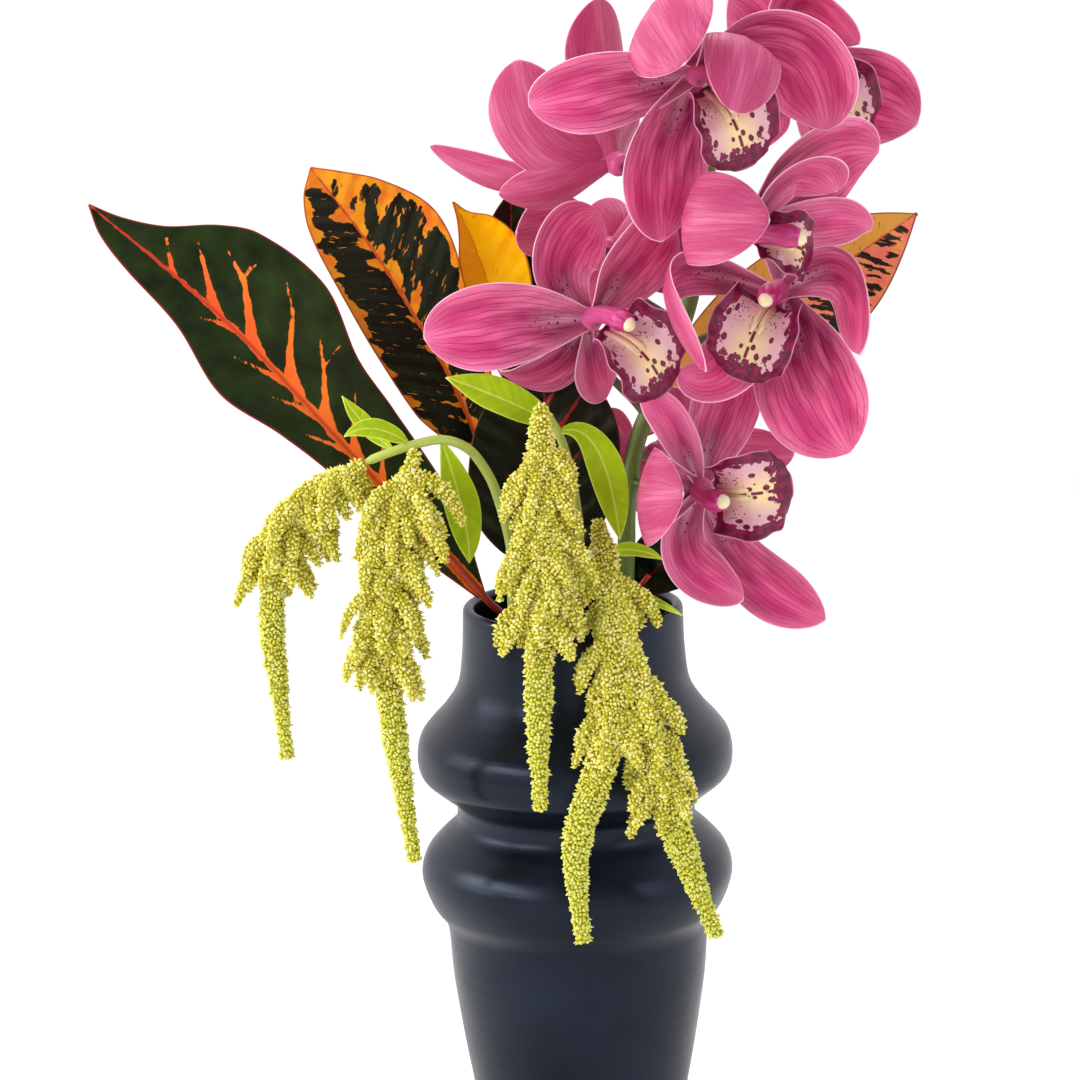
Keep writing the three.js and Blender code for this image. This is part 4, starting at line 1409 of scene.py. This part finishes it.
def add_stalk(skin: Skin, spike: Stem, bloom: Bloom) -> None:
    """Adds the stalk of a bloom, which swells into the ribbed ovary behind its heart.

    Args:
        skin: What it is added to.
        spike: The stem that it leaves.
        bloom: The bloom that it bears.
    """
    root = spike.place_at(bloom.stalk)
    end = bloom.at(-bloom.heart_depth - 0.5, 0)
    elbow = bloom.at(-bloom.heart_depth - 12, 0)
    middle = root + (elbow - root) * 0.6 - (0, 0, 3)
    rail = Rail.through([root, middle, elbow, end], 44)
    u = np.linspace(0, 1, 44)[:, None]
    size = eased(((0, 2.3), (0.12, 1.7), (0.5, 1.75), (0.88, 2.25), (1, 1.9)))(u)
    add_tube(skin, rail, size * (1 + 0.05 * np.sin(3 * turns(14))), 14, 1, along=u[:, 0])


AMARANTH_SKIN = Flesh("amaranth_stem_grown", "#a9bc58", "#bcc860", "#8aa83a", 0.48)
STEMS = {
    "spike": Stem(
        "orchid_spike",
        (
            (6, 10, FOOT), (13, 7, 100), (19, 1, 195), (21, 0, 233), (22, 1, 255), (26, 3, 278),
            (35, 4, 299), (47, 5, 332), (52, 6, 363), (56, 8, 398), (56, 8, 418),
        ),
        (4, 3), "spike", Flesh("orchid_spike_grown", "#4c7a34", "#6a7034", "#7c9c46"),
    ),
    "croton": Stem(
        "croton_stem", ((-10, 14, FOOT), (-12, 15, 100), (-8, 14, 200), (-5, 15, 252)),
        (4.5, 3.5), "bark", Flesh("croton_bark_grown", "#4a4a32", "#5a5436", "#77704e", 0.65, 1.6),
    ),
    "amaranth_1": Stem(
        "amaranth_stem_1",
        (
            (-16, -8, FOOT), (-21, -15, 110), (-23, -18, 216), (-23, -22, 241), (-28, -26, 264),
            (-33, -30, 276), (-39, -34, 284), (-48, -38, 288), (-58, -41, 287), (-69, -43, 284),
            (-77, -44, 281),
        ),
        (2.6, 1.7), "amaranth_green", AMARANTH_SKIN,
    ),
    "amaranth_2": Stem(
        "amaranth_stem_2",
        (
            (2, -12, FOOT), (4, -20, 110), (2, -20, 216), (3, -20, 244), (1, -22, 266), (-3, -26, 284),
            (-8, -32, 295), (-10, -39, 298),
        ),
        (2.4, 1.6), "amaranth_green", AMARANTH_SKIN,
    ),
    "amaranth_3": Stem(
        "amaranth_stem_3",
        (
            (16, -6, FOOT), (15, -16, 110), (11, -16, 215), (11, -20, 237), (10, -27, 250), (10, -34, 253),
        ),
        (2.2, 1.6), "amaranth_green", AMARANTH_SKIN,
    ),
}


# ------------------------------------------------------------------ croton leaves


Vein = tuple[Point, ...]  # along the midrib, away from it and half width, at each bend of a side vein


@dataclass
class CrotonLeaf:
    """A croton leaf with its petiole; `halves` are its half widths, right and left, from its foot up."""

    number: int
    kind: Leafage
    slot: str
    stalk: float
    width: float
    facing: Point
    fold: float
    petiole: tuple[Point, ...]
    points: tuple[Point, ...]
    widest: float = 0.6
    taper: float = 1.0
    uneven: float = 0.0
    halves: tuple[Pairs, Pairs] | None = None
    veins: tuple[Vein, ...] = ()
    petiole_radius: float = 1.8

    def inked(self, across: Array, along: Array) -> dict[str, Array]:
        """How deep each place lies inside the nearest drawn side vein.

        Args:
            across: Its distance from the midrib, negative on the right.
            along: Its distance from the foot.

        Returns:
            The depth in millimetres, under zero outside the veins, by its name.
        """
        depth = np.full(across.shape, -9.0)
        for vein in self.veins:
            for (x0, y0, w0), (x1, y1, w1) in zip(vein, vein[1:]):
                run, rise = x1 - x0, y1 - y0
                share = ((along - x0) * run + (across - y0) * rise) / (run * run + rise * rise)
                share = np.clip(share, 0, 1)
                away = np.hypot(along - x0 - share * run, across - y0 - share * rise)
                depth = np.maximum(depth, w0 + (w1 - w0) * share - away)
        return {"ink": depth}

    def build(self, stem: Stem) -> None:
        """Makes the leaf in place of its solid.

        Args:
            stem: The stem that bears it.
        """
        skin = Skin()
        root = stem.place_at(self.stalk)
        outward = unit(np.array(self.petiole[0]) - root)
        rise = abs(outward[2])
        outward = unit(outward * (1, 1, 0))
        root = root + outward * (stem.radius_at(self.stalk) + 0.3 + self.petiole_radius * rise)
        rail = Rail.through([root, *self.petiole], 30)
        u = np.linspace(0, 1, 30)
        add_tube(skin, rail, self.petiole_radius * (1 - 0.35 * u), 12, 1, along=u)
        form = Blade(
            self.width,
            petal_outline(0.06, self.widest, self.taper),
            fold=self.fold,
            wave=1.6,
            waves=2.4,
            uneven=self.uneven,
            groove=0.7,
            thickness=0.9,
            rows=150,
            columns=56,
            halves=self.halves,
            paint=self.inked,
        )
        form.add(skin, self.points, np.array(self.facing))
        stalk = Flesh("croton_petiole_grown", "#6a1a18", "#d8482a", "#8a2a20")
        name, node = f"croton_leaf_fine_{self.number}", f"croton_leaf_{self.number}"
        skin.piece(name, node, self.slot, [self.kind.value, stalk])


CROTON_LEAVES = (
    CrotonLeaf(
        1, Leafage.DARK, "dark_leaf", 186, 68, (0.1, -0.9, 0.4), 8,
        ((-22, 0, 206), (-33, -8, 219), (-54, -12, 245)),
        ((-35, -9, 221), (-84, -11, 279), (-130, -4, 329), (-181, 6, 373)),
        halves=(
            (
                (0, 2), (0.14, 15), (0.36, 23.5), (0.47, 26.5), (0.6, 36), (0.74, 33.5), (0.8, 26),
                (0.87, 12.5), (0.94, 4.5), (1, 0.4),
            ),
            (
                (0, 2), (0.14, 8), (0.36, 12), (0.46, 16), (0.59, 22.5), (0.74, 14.5), (0.87, 10.8),
                (0.95, 6.5), (1, 0.4),
            ),
        ),
        veins=(
            ((170, 0, 1.3), (176, -4, 0.7), (182, -9.5, 0.3)),
            ((147, 0, 1.6), (153, -2.4, 1.9), (159, -6.5, 1.0), (168, -13, 0.6), (172, -16, 0.2)),
            ((125, 0, 2.0), (133, -2.6, 2.3), (139, -7.5, 1.6), (149, -15.6, 0.9), (161, -20.5, 0.3)),
            ((149, -15.6, 0.9), (151, -21, 0.6), (149, -26.3, 0.25)),
            ((104, 0, 2.4), (112, -3, 2.5), (118, -8, 1.4), (129, -20.5, 0.7), (138, -26.6, 0.2)),
            ((86, 0, 2.4), (93, -3, 2.3), (98, -7.5, 1.2), (106, -14.4, 0.7), (118, -23, 0.2)),
            ((106, -14.4, 0.5), (107, -20, 0.35), (108, -26, 0.2)),
            ((70, 0, 2.2), (76, -2.6, 1.9), (80, -6, 0.9), (88, -14, 0.4), (93, -19, 0.15)),
            ((55, 0, 2.0), (60, -2.4, 1.5), (64, -6, 0.7), (70, -12, 0.25)),
            ((139, 0, 1.6), (144, 1.8, 0.9), (152, 6, 0.25)),
            ((111, 0, 2.0), (118, 2.6, 1.1), (124, 5, 0.6), (134, 9, 0.2)),
            ((94, 0, 2.2), (101, 3, 1.0), (107, 6, 0.5), (115, 11, 0.2)),
            ((76, 0, 2.2), (82, 3.4, 0.9), (92, 8.6, 0.2)),
            ((58, 0, 2.0), (64, 3.4, 0.8), (72, 8, 0.2)),
        ),
    ),
    CrotonLeaf(
        2, Leafage.MOTTLED, "mottled_leaf", 214, 54, (0, -1, 0.2), 14,
        ((-18, 16, 230), (-27, 17, 252), (-36, 18, 276)),
        ((-33, 18, 270), (-44, 19, 298), (-59, 20, 326), (-75, 14, 354), (-96, 2, 386)),
        halves=(
            ((0, 2), (0.18, 14), (0.43, 22.5), (0.69, 29.5), (0.86, 19), (0.95, 8), (1, 0.4)),
            (
                (0, 3), (0.1, 13), (0.2, 19), (0.43, 21), (0.69, 19.5), (0.86, 15.5), (0.95, 9), (1, 0.4),
            ),
        ),
    ),
    CrotonLeaf(
        3, Leafage.YELLOW, "yellow_leaf", 236, 34, (0.3, -0.9, 0.1), 24,
        ((-8, 22, 252), (-12, 27, 272), (-20, 31, 300)),
        ((-16, 30, 284), (-31, 33, 338), (-43, 28, 368)),
        halves=(
            ((0, 2), (0.3, 11), (0.55, 16), (0.75, 17), (0.87, 11), (0.93, 3.5), (1, 0.4)),
            ((0, 2), (0.3, 10), (0.55, 12), (0.75, 10), (0.87, 5), (0.93, 2.5), (1, 0.4)),
        ),
    ),
    CrotonLeaf(
        4, Leafage.DUSK, "dark_leaf", 248, 27, (0, -1, 0.1), 12,
        ((-1, 22, 262), (-5, 30, 280), (-10, 36, 300)),
        ((-7, 33, 286), (-19, 42, 330), (-20, 40, 371)),
    ),
    CrotonLeaf(
        5, Leafage.SALMON, "salmon_leaf", 226, 48, (-0.2, -0.9, 0.3), 12,
        ((6, 24, 244), (16, 31, 260), (32, 39, 280)),
        ((24, 36, 272), (60, 48, 302), (100, 50, 331), (137, 42, 358)), uneven=-0.12,
    ),
    CrotonLeaf(
        6, Leafage.DUSK, "dark_leaf", 205, 60, (0, -1, 0.1), 8,
        ((-7, 4, 218), (-7, 0, 232), (-7, 0, 246)),
        ((-6, 2, 226), (-7, 3, 268), (-12, 14, 316)),
        halves=(
            ((0, 3), (0.15, 15), (0.4, 25), (0.6, 27), (0.8, 20), (0.93, 9), (1, 0.4)),
            ((0, 3), (0.12, 22), (0.3, 32), (0.6, 30), (0.8, 20), (0.93, 9), (1, 0.4)),
        ),
        veins=(
            ((52, 0, 1.6), (60, -7, 0.8), (68, -14, 0.5), (74, -19, 0.3)),
            ((50, 0, 1.6), (57, 5, 0.8), (66, 11, 0.5), (72, 15, 0.3)),
            ((36, 0, 1.0), (43, -7, 0.5), (49, -13, 0.3)),
            ((34, 0, 1.0), (41, 6, 0.5), (47, 11, 0.3)),
            ((66, 0, 0.9), (72, -5, 0.4), (77, -9, 0.2)),
        ),
    ),
    CrotonLeaf(
        7, Leafage.DUSK, "dark_leaf", 190, 26, (0, -1, 0.3), 12,
        ((8, 11, 204), (20, 9, 212), (30, 7, 224)),
        ((24, 8, 216), (36, 6, 230), (48, 3, 242)), widest=0.55,
    ),
)


# ------------------------------------------------------------------ amaranth


@dataclass(frozen=True)
class HerbLeaf:
    """A small amaranth leaf: the stem that bears it, its midline and its width."""

    stem: int
    points: tuple[Point, ...]
    width: float


HERB_LEAVES = (
    HerbLeaf(2, ((-5, -29, 290), (-20, -35, 300), (-46, -40, 312)), 15),
    HerbLeaf(2, ((-4, -28, 288), (10, -33, 282), (18, -37, 248)), 14),
    HerbLeaf(3, ((9.8, -21.5, 240), (24, -34, 243), (34, -42, 241)), 6),
    HerbLeaf(3, ((11.5, -18, 227), (27, -44, 227), (41, -58, 223)), 5),
    HerbLeaf(1, ((-60, -41, 287), (-73, -50, 295), (-84, -54, 293)), 8),
    HerbLeaf(1, ((-66, -43, 285), (-77, -36, 294), (-85, -36, 305)), 7),
    HerbLeaf(1, ((-48, -38, 287), (-41, -36, 260), (-39, -32, 239)), 14),
    HerbLeaf(3, ((11, -20, 236), (-2, -46, 229), (-21, -54, 219)), 12),
)


MULTIPLIER, INCREMENT, MODULUS = 1103515245, 12345, 2147483648  # of the repeatable sequence
BUD_SIDES = 5


def repeatable(seed: int) -> Callable[[], float]:
    """A repeatable sequence of numbers from 0 to 1.

    Args:
        seed: Where it starts.

    Returns:
        A function that gives the next number.
    """
    state = seed

    def following() -> float:
        """The next number."""
        nonlocal state
        state = (state * MULTIPLIER + INCREMENT) % MODULUS
        return state / MODULUS

    return following


@dataclass
class Tassel:
    """A hanging amaranth tassel of tiny florets, with side fingers along its thick part.

    `radius` holds its top, its thick part, its tail and its end, and `span` is where fingers leave it.
    """

    number: int
    points: tuple[Point, ...]
    radius: tuple[float, float, float, float]
    branches: int
    span: tuple[float, float]
    reach: float
    fork: tuple[Point, ...] = ()
    bead: float = 0.74
    pitch: float = 1.22
    core: float = 0.64
    extra: int = 5
    finger_radius: float = 3.3
    small_radius: tuple[float, float] = (2.3, 3.1)
    bracts: float = 0.27
    start_turn: float = 6.28

    def rope(
        self, skin: Skin, rail: Rail, radius: Array, rng: np.random.Generator, green: float = 2.0
    ) -> None:
        """Covers a line with florets round a core painted dark, as the shade between them.

        Args:
            skin: What they are added to.
            rail: The line.
            radius: The rope's radius at each station.
            rng: The source of its unevenness.
            green: The share of its length where the younger, greener florets start.
        """
        u = np.linspace(0, 1, len(radius))
        # The core is painted dark, so that the gaps between the florets read as shade.
        add_tube(skin, rail, radius * 0.78, 8, tone=0.15, young=0.0)
        length = rail.length
        rows = max(4, int(length / self.pitch))
        shares = np.linspace(0, 1, rows)
        sizes = np.interp(shares, u, radius)
        counts = np.maximum(3, (math.tau * sizes / (self.pitch * 1.08)).astype(int))
        share = np.repeat(shares, counts)
        size = np.repeat(sizes, counts)
        order = np.concatenate([np.arange(count) / count for count in counts])
        turn = math.tau * order + np.repeat(rng.random(rows) * self.start_turn, counts)
        share = np.clip(share + rng.normal(0, 0.35, len(share)) / max(rows, 1), 0, 1)
        spots, across, normals = (
            np.stack([np.interp(share, u, column[:, axis]) for axis in range(3)], axis=1)
            for column in (rail.spots, rail.across, rail.normals)
        )
        out = across * np.cos(turn)[:, None] + normals * np.sin(turn)[:, None]
        # Florets stand in small knots, so the surface swells and sinks every few millimetres.
        knots = np.sin(share * length / 1.15 + 1.7 * np.sin(3 * turn))
        knots *= np.sin(3 * turn + share * length / 2.1)
        lift = size * (0.92 + 0.12 * knots) + rng.normal(0, 0.25, len(size))
        grain = self.bead * rng.uniform(0.75, 1.2, len(size))
        # Painted shade: buds where the knots sink are painted darker, those where they swell lighter, with
        # some tone at random.
        tone = np.clip(0.5 + 0.26 * knots + rng.normal(0, 0.13, len(size)), 0, 1)
        # One bud in four ends in a slim pale bract that stands out of the rope.
        point = np.where(rng.random(len(size)) < self.bracts, rng.uniform(1.5, 2.3, len(size)), 1.0)
        young = np.clip((share - green) / 0.15, 0, 1)
        self.beads(skin, spots + out * lift[:, None], out, grain, tone, point, young)

    @staticmethod
    def beads(
        skin: Skin, centres: Array, outward: Array, sizes: Array, tones: Array, points: Array, young: Array
    ) -> None:
        """Adds a round bud at each centre.

        Args:
            skin: What they are added to.
            centres: Their middles.
            outward: Where their tips point.
            sizes: Their radii.
            tones: How light each one is painted, from 0 to 1, partly as painted shade.
            points: How far each tip is drawn out, 1 for a round bud.
            young: How green each one is, from 0 to 1.
        """
        lean = unit(outward + (0, 0, -0.3))
        aside = unit(np.cross(lean, (0.3, 0.2, 0.93)))
        other = np.cross(lean, aside)
        slim = (1.15 - 0.15 * points)[:, None]
        corners = [lean * points[:, None] * 1.08]
        for height, start in ((0.46, 0.0), (-0.46, 0.5)):
            for step in range(BUD_SIDES):
                angle = (step + start) * math.tau / BUD_SIDES
                spoke = aside * math.cos(angle) + other * math.sin(angle)
                corners.append(lean * height + spoke * 0.89 * slim)
        corners.append(-lean)
        count = len(corners)
        spots = centres[:, None] + np.stack(corners, axis=1) * sizes[:, None, None]
        near = np.arange(BUD_SIDES) + 1
        far = near + BUD_SIDES
        tip, base = np.zeros(BUD_SIDES, int), np.full(BUD_SIDES, count - 1)
        next_near, next_far = np.roll(near, -1), np.roll(far, -1)
        bands = (
            (tip, near, next_near), (near, far, next_near),
            (next_near, far, next_far), (base, next_far, far),
        )
        fan = np.concatenate([np.stack(band, axis=1) for band in bands])
        faces = (fan[None] + count * np.arange(len(centres))[:, None, None]).reshape(-1, 3)
        # Painted shade on each bud: lighter at its tip, which stands out, darker at its foot, deep among
        # the others.
        bud_shading = np.array([0.32, *[0.08] * BUD_SIDES, *[-0.18] * BUD_SIDES, -0.35])
        shade = np.clip(tones[:, None] + bud_shading, 0, 1)
        skin.add(spots, [faces], tone=shade.reshape(-1), young=np.repeat(young, count))

    def build(self, finish: Finish) -> None:
        """Makes the tassel in place of its solid.

        Args:
            finish: What the florets wear.
        """
        skin = Skin()
        rng = np.random.default_rng(self.number)
        top, dense, tail, end = self.radius
        last = self.span[1]
        dense *= self.core
        line = eased(((0, top), (0.12, dense * 0.8), (last * 0.8, dense), (last + 0.12, tail), (1, end)))
        u = np.linspace(0, 1, 90)
        rails = [Rail.through(self.points, 90)]
        self.rope(skin, rails[0], line(u), rng, last)
        if self.fork:
            rails.append(Rail.through(self.fork, 90))
            forked = eased(((0, dense * 0.7), (0.4, dense * 0.9), (0.65, tail), (1, end)))
            self.rope(skin, rails[1], forked(u), rng, 0.5)
        following = repeatable(self.number + 6)
        for branch in range(self.branches):
            share = (branch + 0.5) / self.branches
            place = self.span[0] + (last - self.span[0]) * share
            which = branch % len(rails)
            spots = rails[which].spots
            root = spots[int((place * 0.8 if which else place) * (len(spots) - 1))]
            turn = branch * 2.4 + following()
            length = self.reach * (0.7 + 0.5 * following())
            self.finger(skin, root, turn, length, self.finger_radius, rng)
            for more in range(self.extra):
                shift = int((more + rng.random()) * len(spots) / (self.branches * self.extra) * last)
                near = spots[min(int(place * (len(spots) - 1)) + shift, len(spots) - 1)]
                short = length * rng.uniform(0.6, 1.0)
                self.finger(
                    skin, near, turn + 1.7 * (more + 1), short, rng.uniform(*self.small_radius), rng
                )
        name, node = f"floret_tassel_{self.number}", f"amaranth_tassel_{self.number}"
        skin.piece(name, node, "florets", [finish])

    def finger(
        self, skin: Skin, root: Array, turn: float, length: float, radius: float, rng: np.random.Generator
    ) -> None:
        """Adds a side finger that leans out and hangs.

        Args:
            skin: What it is added to.
            root: Where it leaves the tassel.
            turn: Where it points, about the Z axis.
            length: How far it reaches.
            radius: Its radius at its foot.
            rng: The source of its unevenness.
        """
        outward = np.array((math.cos(turn), math.sin(turn) * 0.5 - 0.25, 0.0))
        bend = root + outward * length * 0.65 - (0, 0, length * 0.25)
        tip = root + outward * length - (0, 0, length * 0.9)
        u = np.linspace(0, 1, 20)
        size = radius * np.sqrt(np.clip(1 - u**5, 0.05, 1)) * (1 - 0.3 * u)
        self.rope(skin, Rail.through([root, bend, tip], 20), size, rng)


TASSELS = (
    Tassel(
        1,
        (
            (-77.6, -44.1, 280.6), (-90, -44, 274), (-102, -42, 265), (-110, -40, 247), (-114, -38, 220),
            (-112, -38, 192), (-110, -38, 166),
        ),
        (2, 7, 4.6, 2.2), 9, (0.05, 0.42), 16,
    ),
    Tassel(
        2,
        (
            (-58, -43.9, 284.9), (-62, -52, 272), (-67, -54, 246), (-71, -54, 215), (-68, -54, 176),
            (-62, -54, 129),
        ),
        (2, 8, 4.6, 2.2), 11, (0.05, 0.52), 18,
    ),
    Tassel(
        3,
        (
            (-10.3, -40.5, 298.3), (-11, -47, 298), (-11, -56, 272), (-11, -63, 243), (-13, -72, 216),
            (-14, -76, 187), (-14, -78, 155),
        ),
        (2, 9, 5, 2.4), 11, (0.12, 0.56), 17,
    ),
    Tassel(
        4,
        (
            (10, -35.4, 253.4), (10.5, -43, 252), (14, -56, 229), (14, -72, 199), (8, -80, 170),
            (-1, -80, 140), (1, -80, 104),
        ),
        (2, 9.5, 5.6, 2.6), 12, (0.16, 0.56), 16,
        ((14, -56, 226), (24, -72, 198), (31, -78, 165), (41, -78, 132), (51, -76, 104)),
    ),
)


# ------------------------------------------------------------------ studio


@dataclass
class Studio:
    """A plain pale floor, soft lights and the camera at the photograph's angle."""

    place: Point = (-12.1, -1653.7, 609.9)
    pitch: float = -12.6
    roll: float = 1.15
    view: float = 14.0
    aim: Point = (0, 0, 0.28)
    reach: float = 1.25
    sunk: float = 0.0004
    lights: tuple[tuple[str, Point, tuple[float, float], float, str], ...] = (
        ("key", (-1.7, -0.85, 1.15), (2.4, 0.6), 30, "#fffdf8"),
        ("side", (-1.7, -0.15, 0.75), (1.2, 0.9), 9, "#f4f8ff"),
        ("fill", (1.4, -1.0, 0.9), (0.8, 0.8), 5, "#fbfcff"),
        ("top", (0.1, 0.5, 1.7), (0.8, 0.8), 12, "#ffffff"),
    )
    sky: str = "#ffffff"
    dusk: str = "#8d93a0"
    brightness: float = 1.06

    def camera(self) -> None:
        """Sets up the camera."""
        tilt, lean = math.radians(self.pitch), math.radians(self.roll)
        forward = Vector((0, math.cos(tilt), math.sin(tilt)))
        level = Vector((1, 0, 0))
        above = Vector((0, -math.sin(tilt), math.cos(tilt)))
        right = math.cos(lean) * level - math.sin(lean) * above
        up = math.cos(lean) * above + math.sin(lean) * level
        data = bpy.data.cameras.new("camera")
        data.angle = math.radians(self.view)
        data.clip_end = 20
        thing = placed("camera", data)
        turned = Matrix((right, up, -forward)).transposed().to_4x4()
        thing.matrix_world = Matrix.Translation(Vector(self.place) * MM) @ turned
        bpy.context.scene.camera = thing

    def light(self, name: str, place: Point, size: tuple[float, float], watts: float, colour: str) -> None:
        """Adds a rectangular soft light that looks at the middle of the arrangement.

        Args:
            name: Its name.
            place: Where it stands, in metres.
            size: Its width and height, in metres.
            watts: Its power.
            colour: Its colour.
        """
        data = bpy.data.lights.new(name, "AREA")
        data.shape = "RECTANGLE"
        (data.size, data.size_y), data.energy, data.color = size, watts, linear(colour)[:3]
        thing = placed(name, data)
        thing.location = place
        thing.rotation_euler = (Vector(self.aim) - Vector(place)).to_track_quat("-Z", "Y").to_euler()

    def build(self) -> None:
        """Makes the floor, the lights, the world and the camera."""
        mesh = bpy.data.meshes.new("floor")
        corners = [(x * self.reach, y * self.reach, 0) for x, y in ((-1, -1), (1, -1), (1, 1), (-1, 1))]
        mesh.from_pydata(corners, [], [(0, 1, 2, 3)])
        mesh.materials.append(PlainPaint().material())
        floor = placed("floor", mesh)
        floor.location.z = -self.sunk
        for name, place, size, watts, colour in self.lights:
            self.light(name, place, size, watts, colour)
        world = bpy.data.worlds.new("studio")
        world.use_nodes = True
        world.node_tree.nodes.clear()
        # White all round, and dimmer high up on the viewer's side, so that the key light gives the form.
        add = partial(add_node, world.node_tree)
        way = add(PLACE)
        toward, height = add(AXES, way, out=ALONG_OUT), add(AXES, way, out=UP_OUT)
        near = add(RANGE, toward, 0.35, -0.35)
        high = add(RANGE, height, 0.12, 0.5)
        dim = add(TIMES, near, high)
        colour = add(MIX, dim, self.sky, self.dusk)
        light = add(Kind("ShaderNodeBackground", ("Color", "Strength")), colour, self.brightness)
        add(Kind("ShaderNodeOutputWorld", ("Surface",)), light)
        bpy.context.scene.world = world
        bpy.context.scene.view_settings.view_transform = "Standard"
        self.camera()


# ------------------------------------------------------------------ assembly


def build_stems() -> None:
    """Makes the five stems, with the orchid's stalks and the amaranth's leaves."""
    spike = STEMS["spike"]
    skin = Skin()
    spike.add(skin)
    for bloom in BLOOMS:
        add_stalk(skin, spike, bloom)
    stalk = Flesh("orchid_stalk_grown", "#5c6a34", "#6e2c44", "#8a5a5a")
    skin.piece("orchid_spike_fine", spike.node, spike.slot, [spike.finish, stalk])
    croton = STEMS["croton"]
    skin = Skin()
    croton.add(skin)
    skin.piece("croton_stem_fine", croton.node, croton.slot, [croton.finish])
    for number in (1, 2, 3):
        stem = STEMS[f"amaranth_{number}"]
        skin = Skin()
        stem.add(skin, ribs=5)
        for leaf in HERB_LEAVES:
            if leaf.stem == number:
                form = Blade(
                    leaf.width, petal_outline(0.12, 0.5, 1.0), fold=15, wave=0.5, waves=2.2, groove=0.3,
                    thickness=0.7, rows=26, columns=12,
                )
                form.add(skin, leaf.points, np.array((0, -0.8, 0.6)), 1)
        skin.piece(f"{stem.node}_fine", stem.node, stem.slot, [stem.finish, HerbSkin()])


def main() -> None:
    """Builds the pieces in order."""
    logging.basicConfig(level=logging.INFO, format="%(name)s: %(message)s")
    Studio().build()
    vase = Vase()
    vase.build()
    Water(vase).build()
    build_stems()
    petal, lip = PetalSkin(), LipSkin()
    column = Flesh("orchid_column_grown", "#d85a92", "#b8186a", "#e07aa8", 0.3, 2.0)
    cap = Flesh("orchid_cap_grown", "#f4e8b8", "#f6edc6", "#e8c8a0", 0.35, 2.0)
    crest = Flesh("orchid_crest_grown", "#c87a8c", "#f0dca8", "#a85a60", 0.4, 1.0)
    for bloom in BLOOMS:
        bloom.build_flower(petal, column, cap)
        bloom.build_lip(lip, crest)
    for leaf in CROTON_LEAVES:
        leaf.build(STEMS["croton"])
    for tassel in TASSELS:
        tassel.build(FloretSkin())


if __name__ == "__main__":
    main()
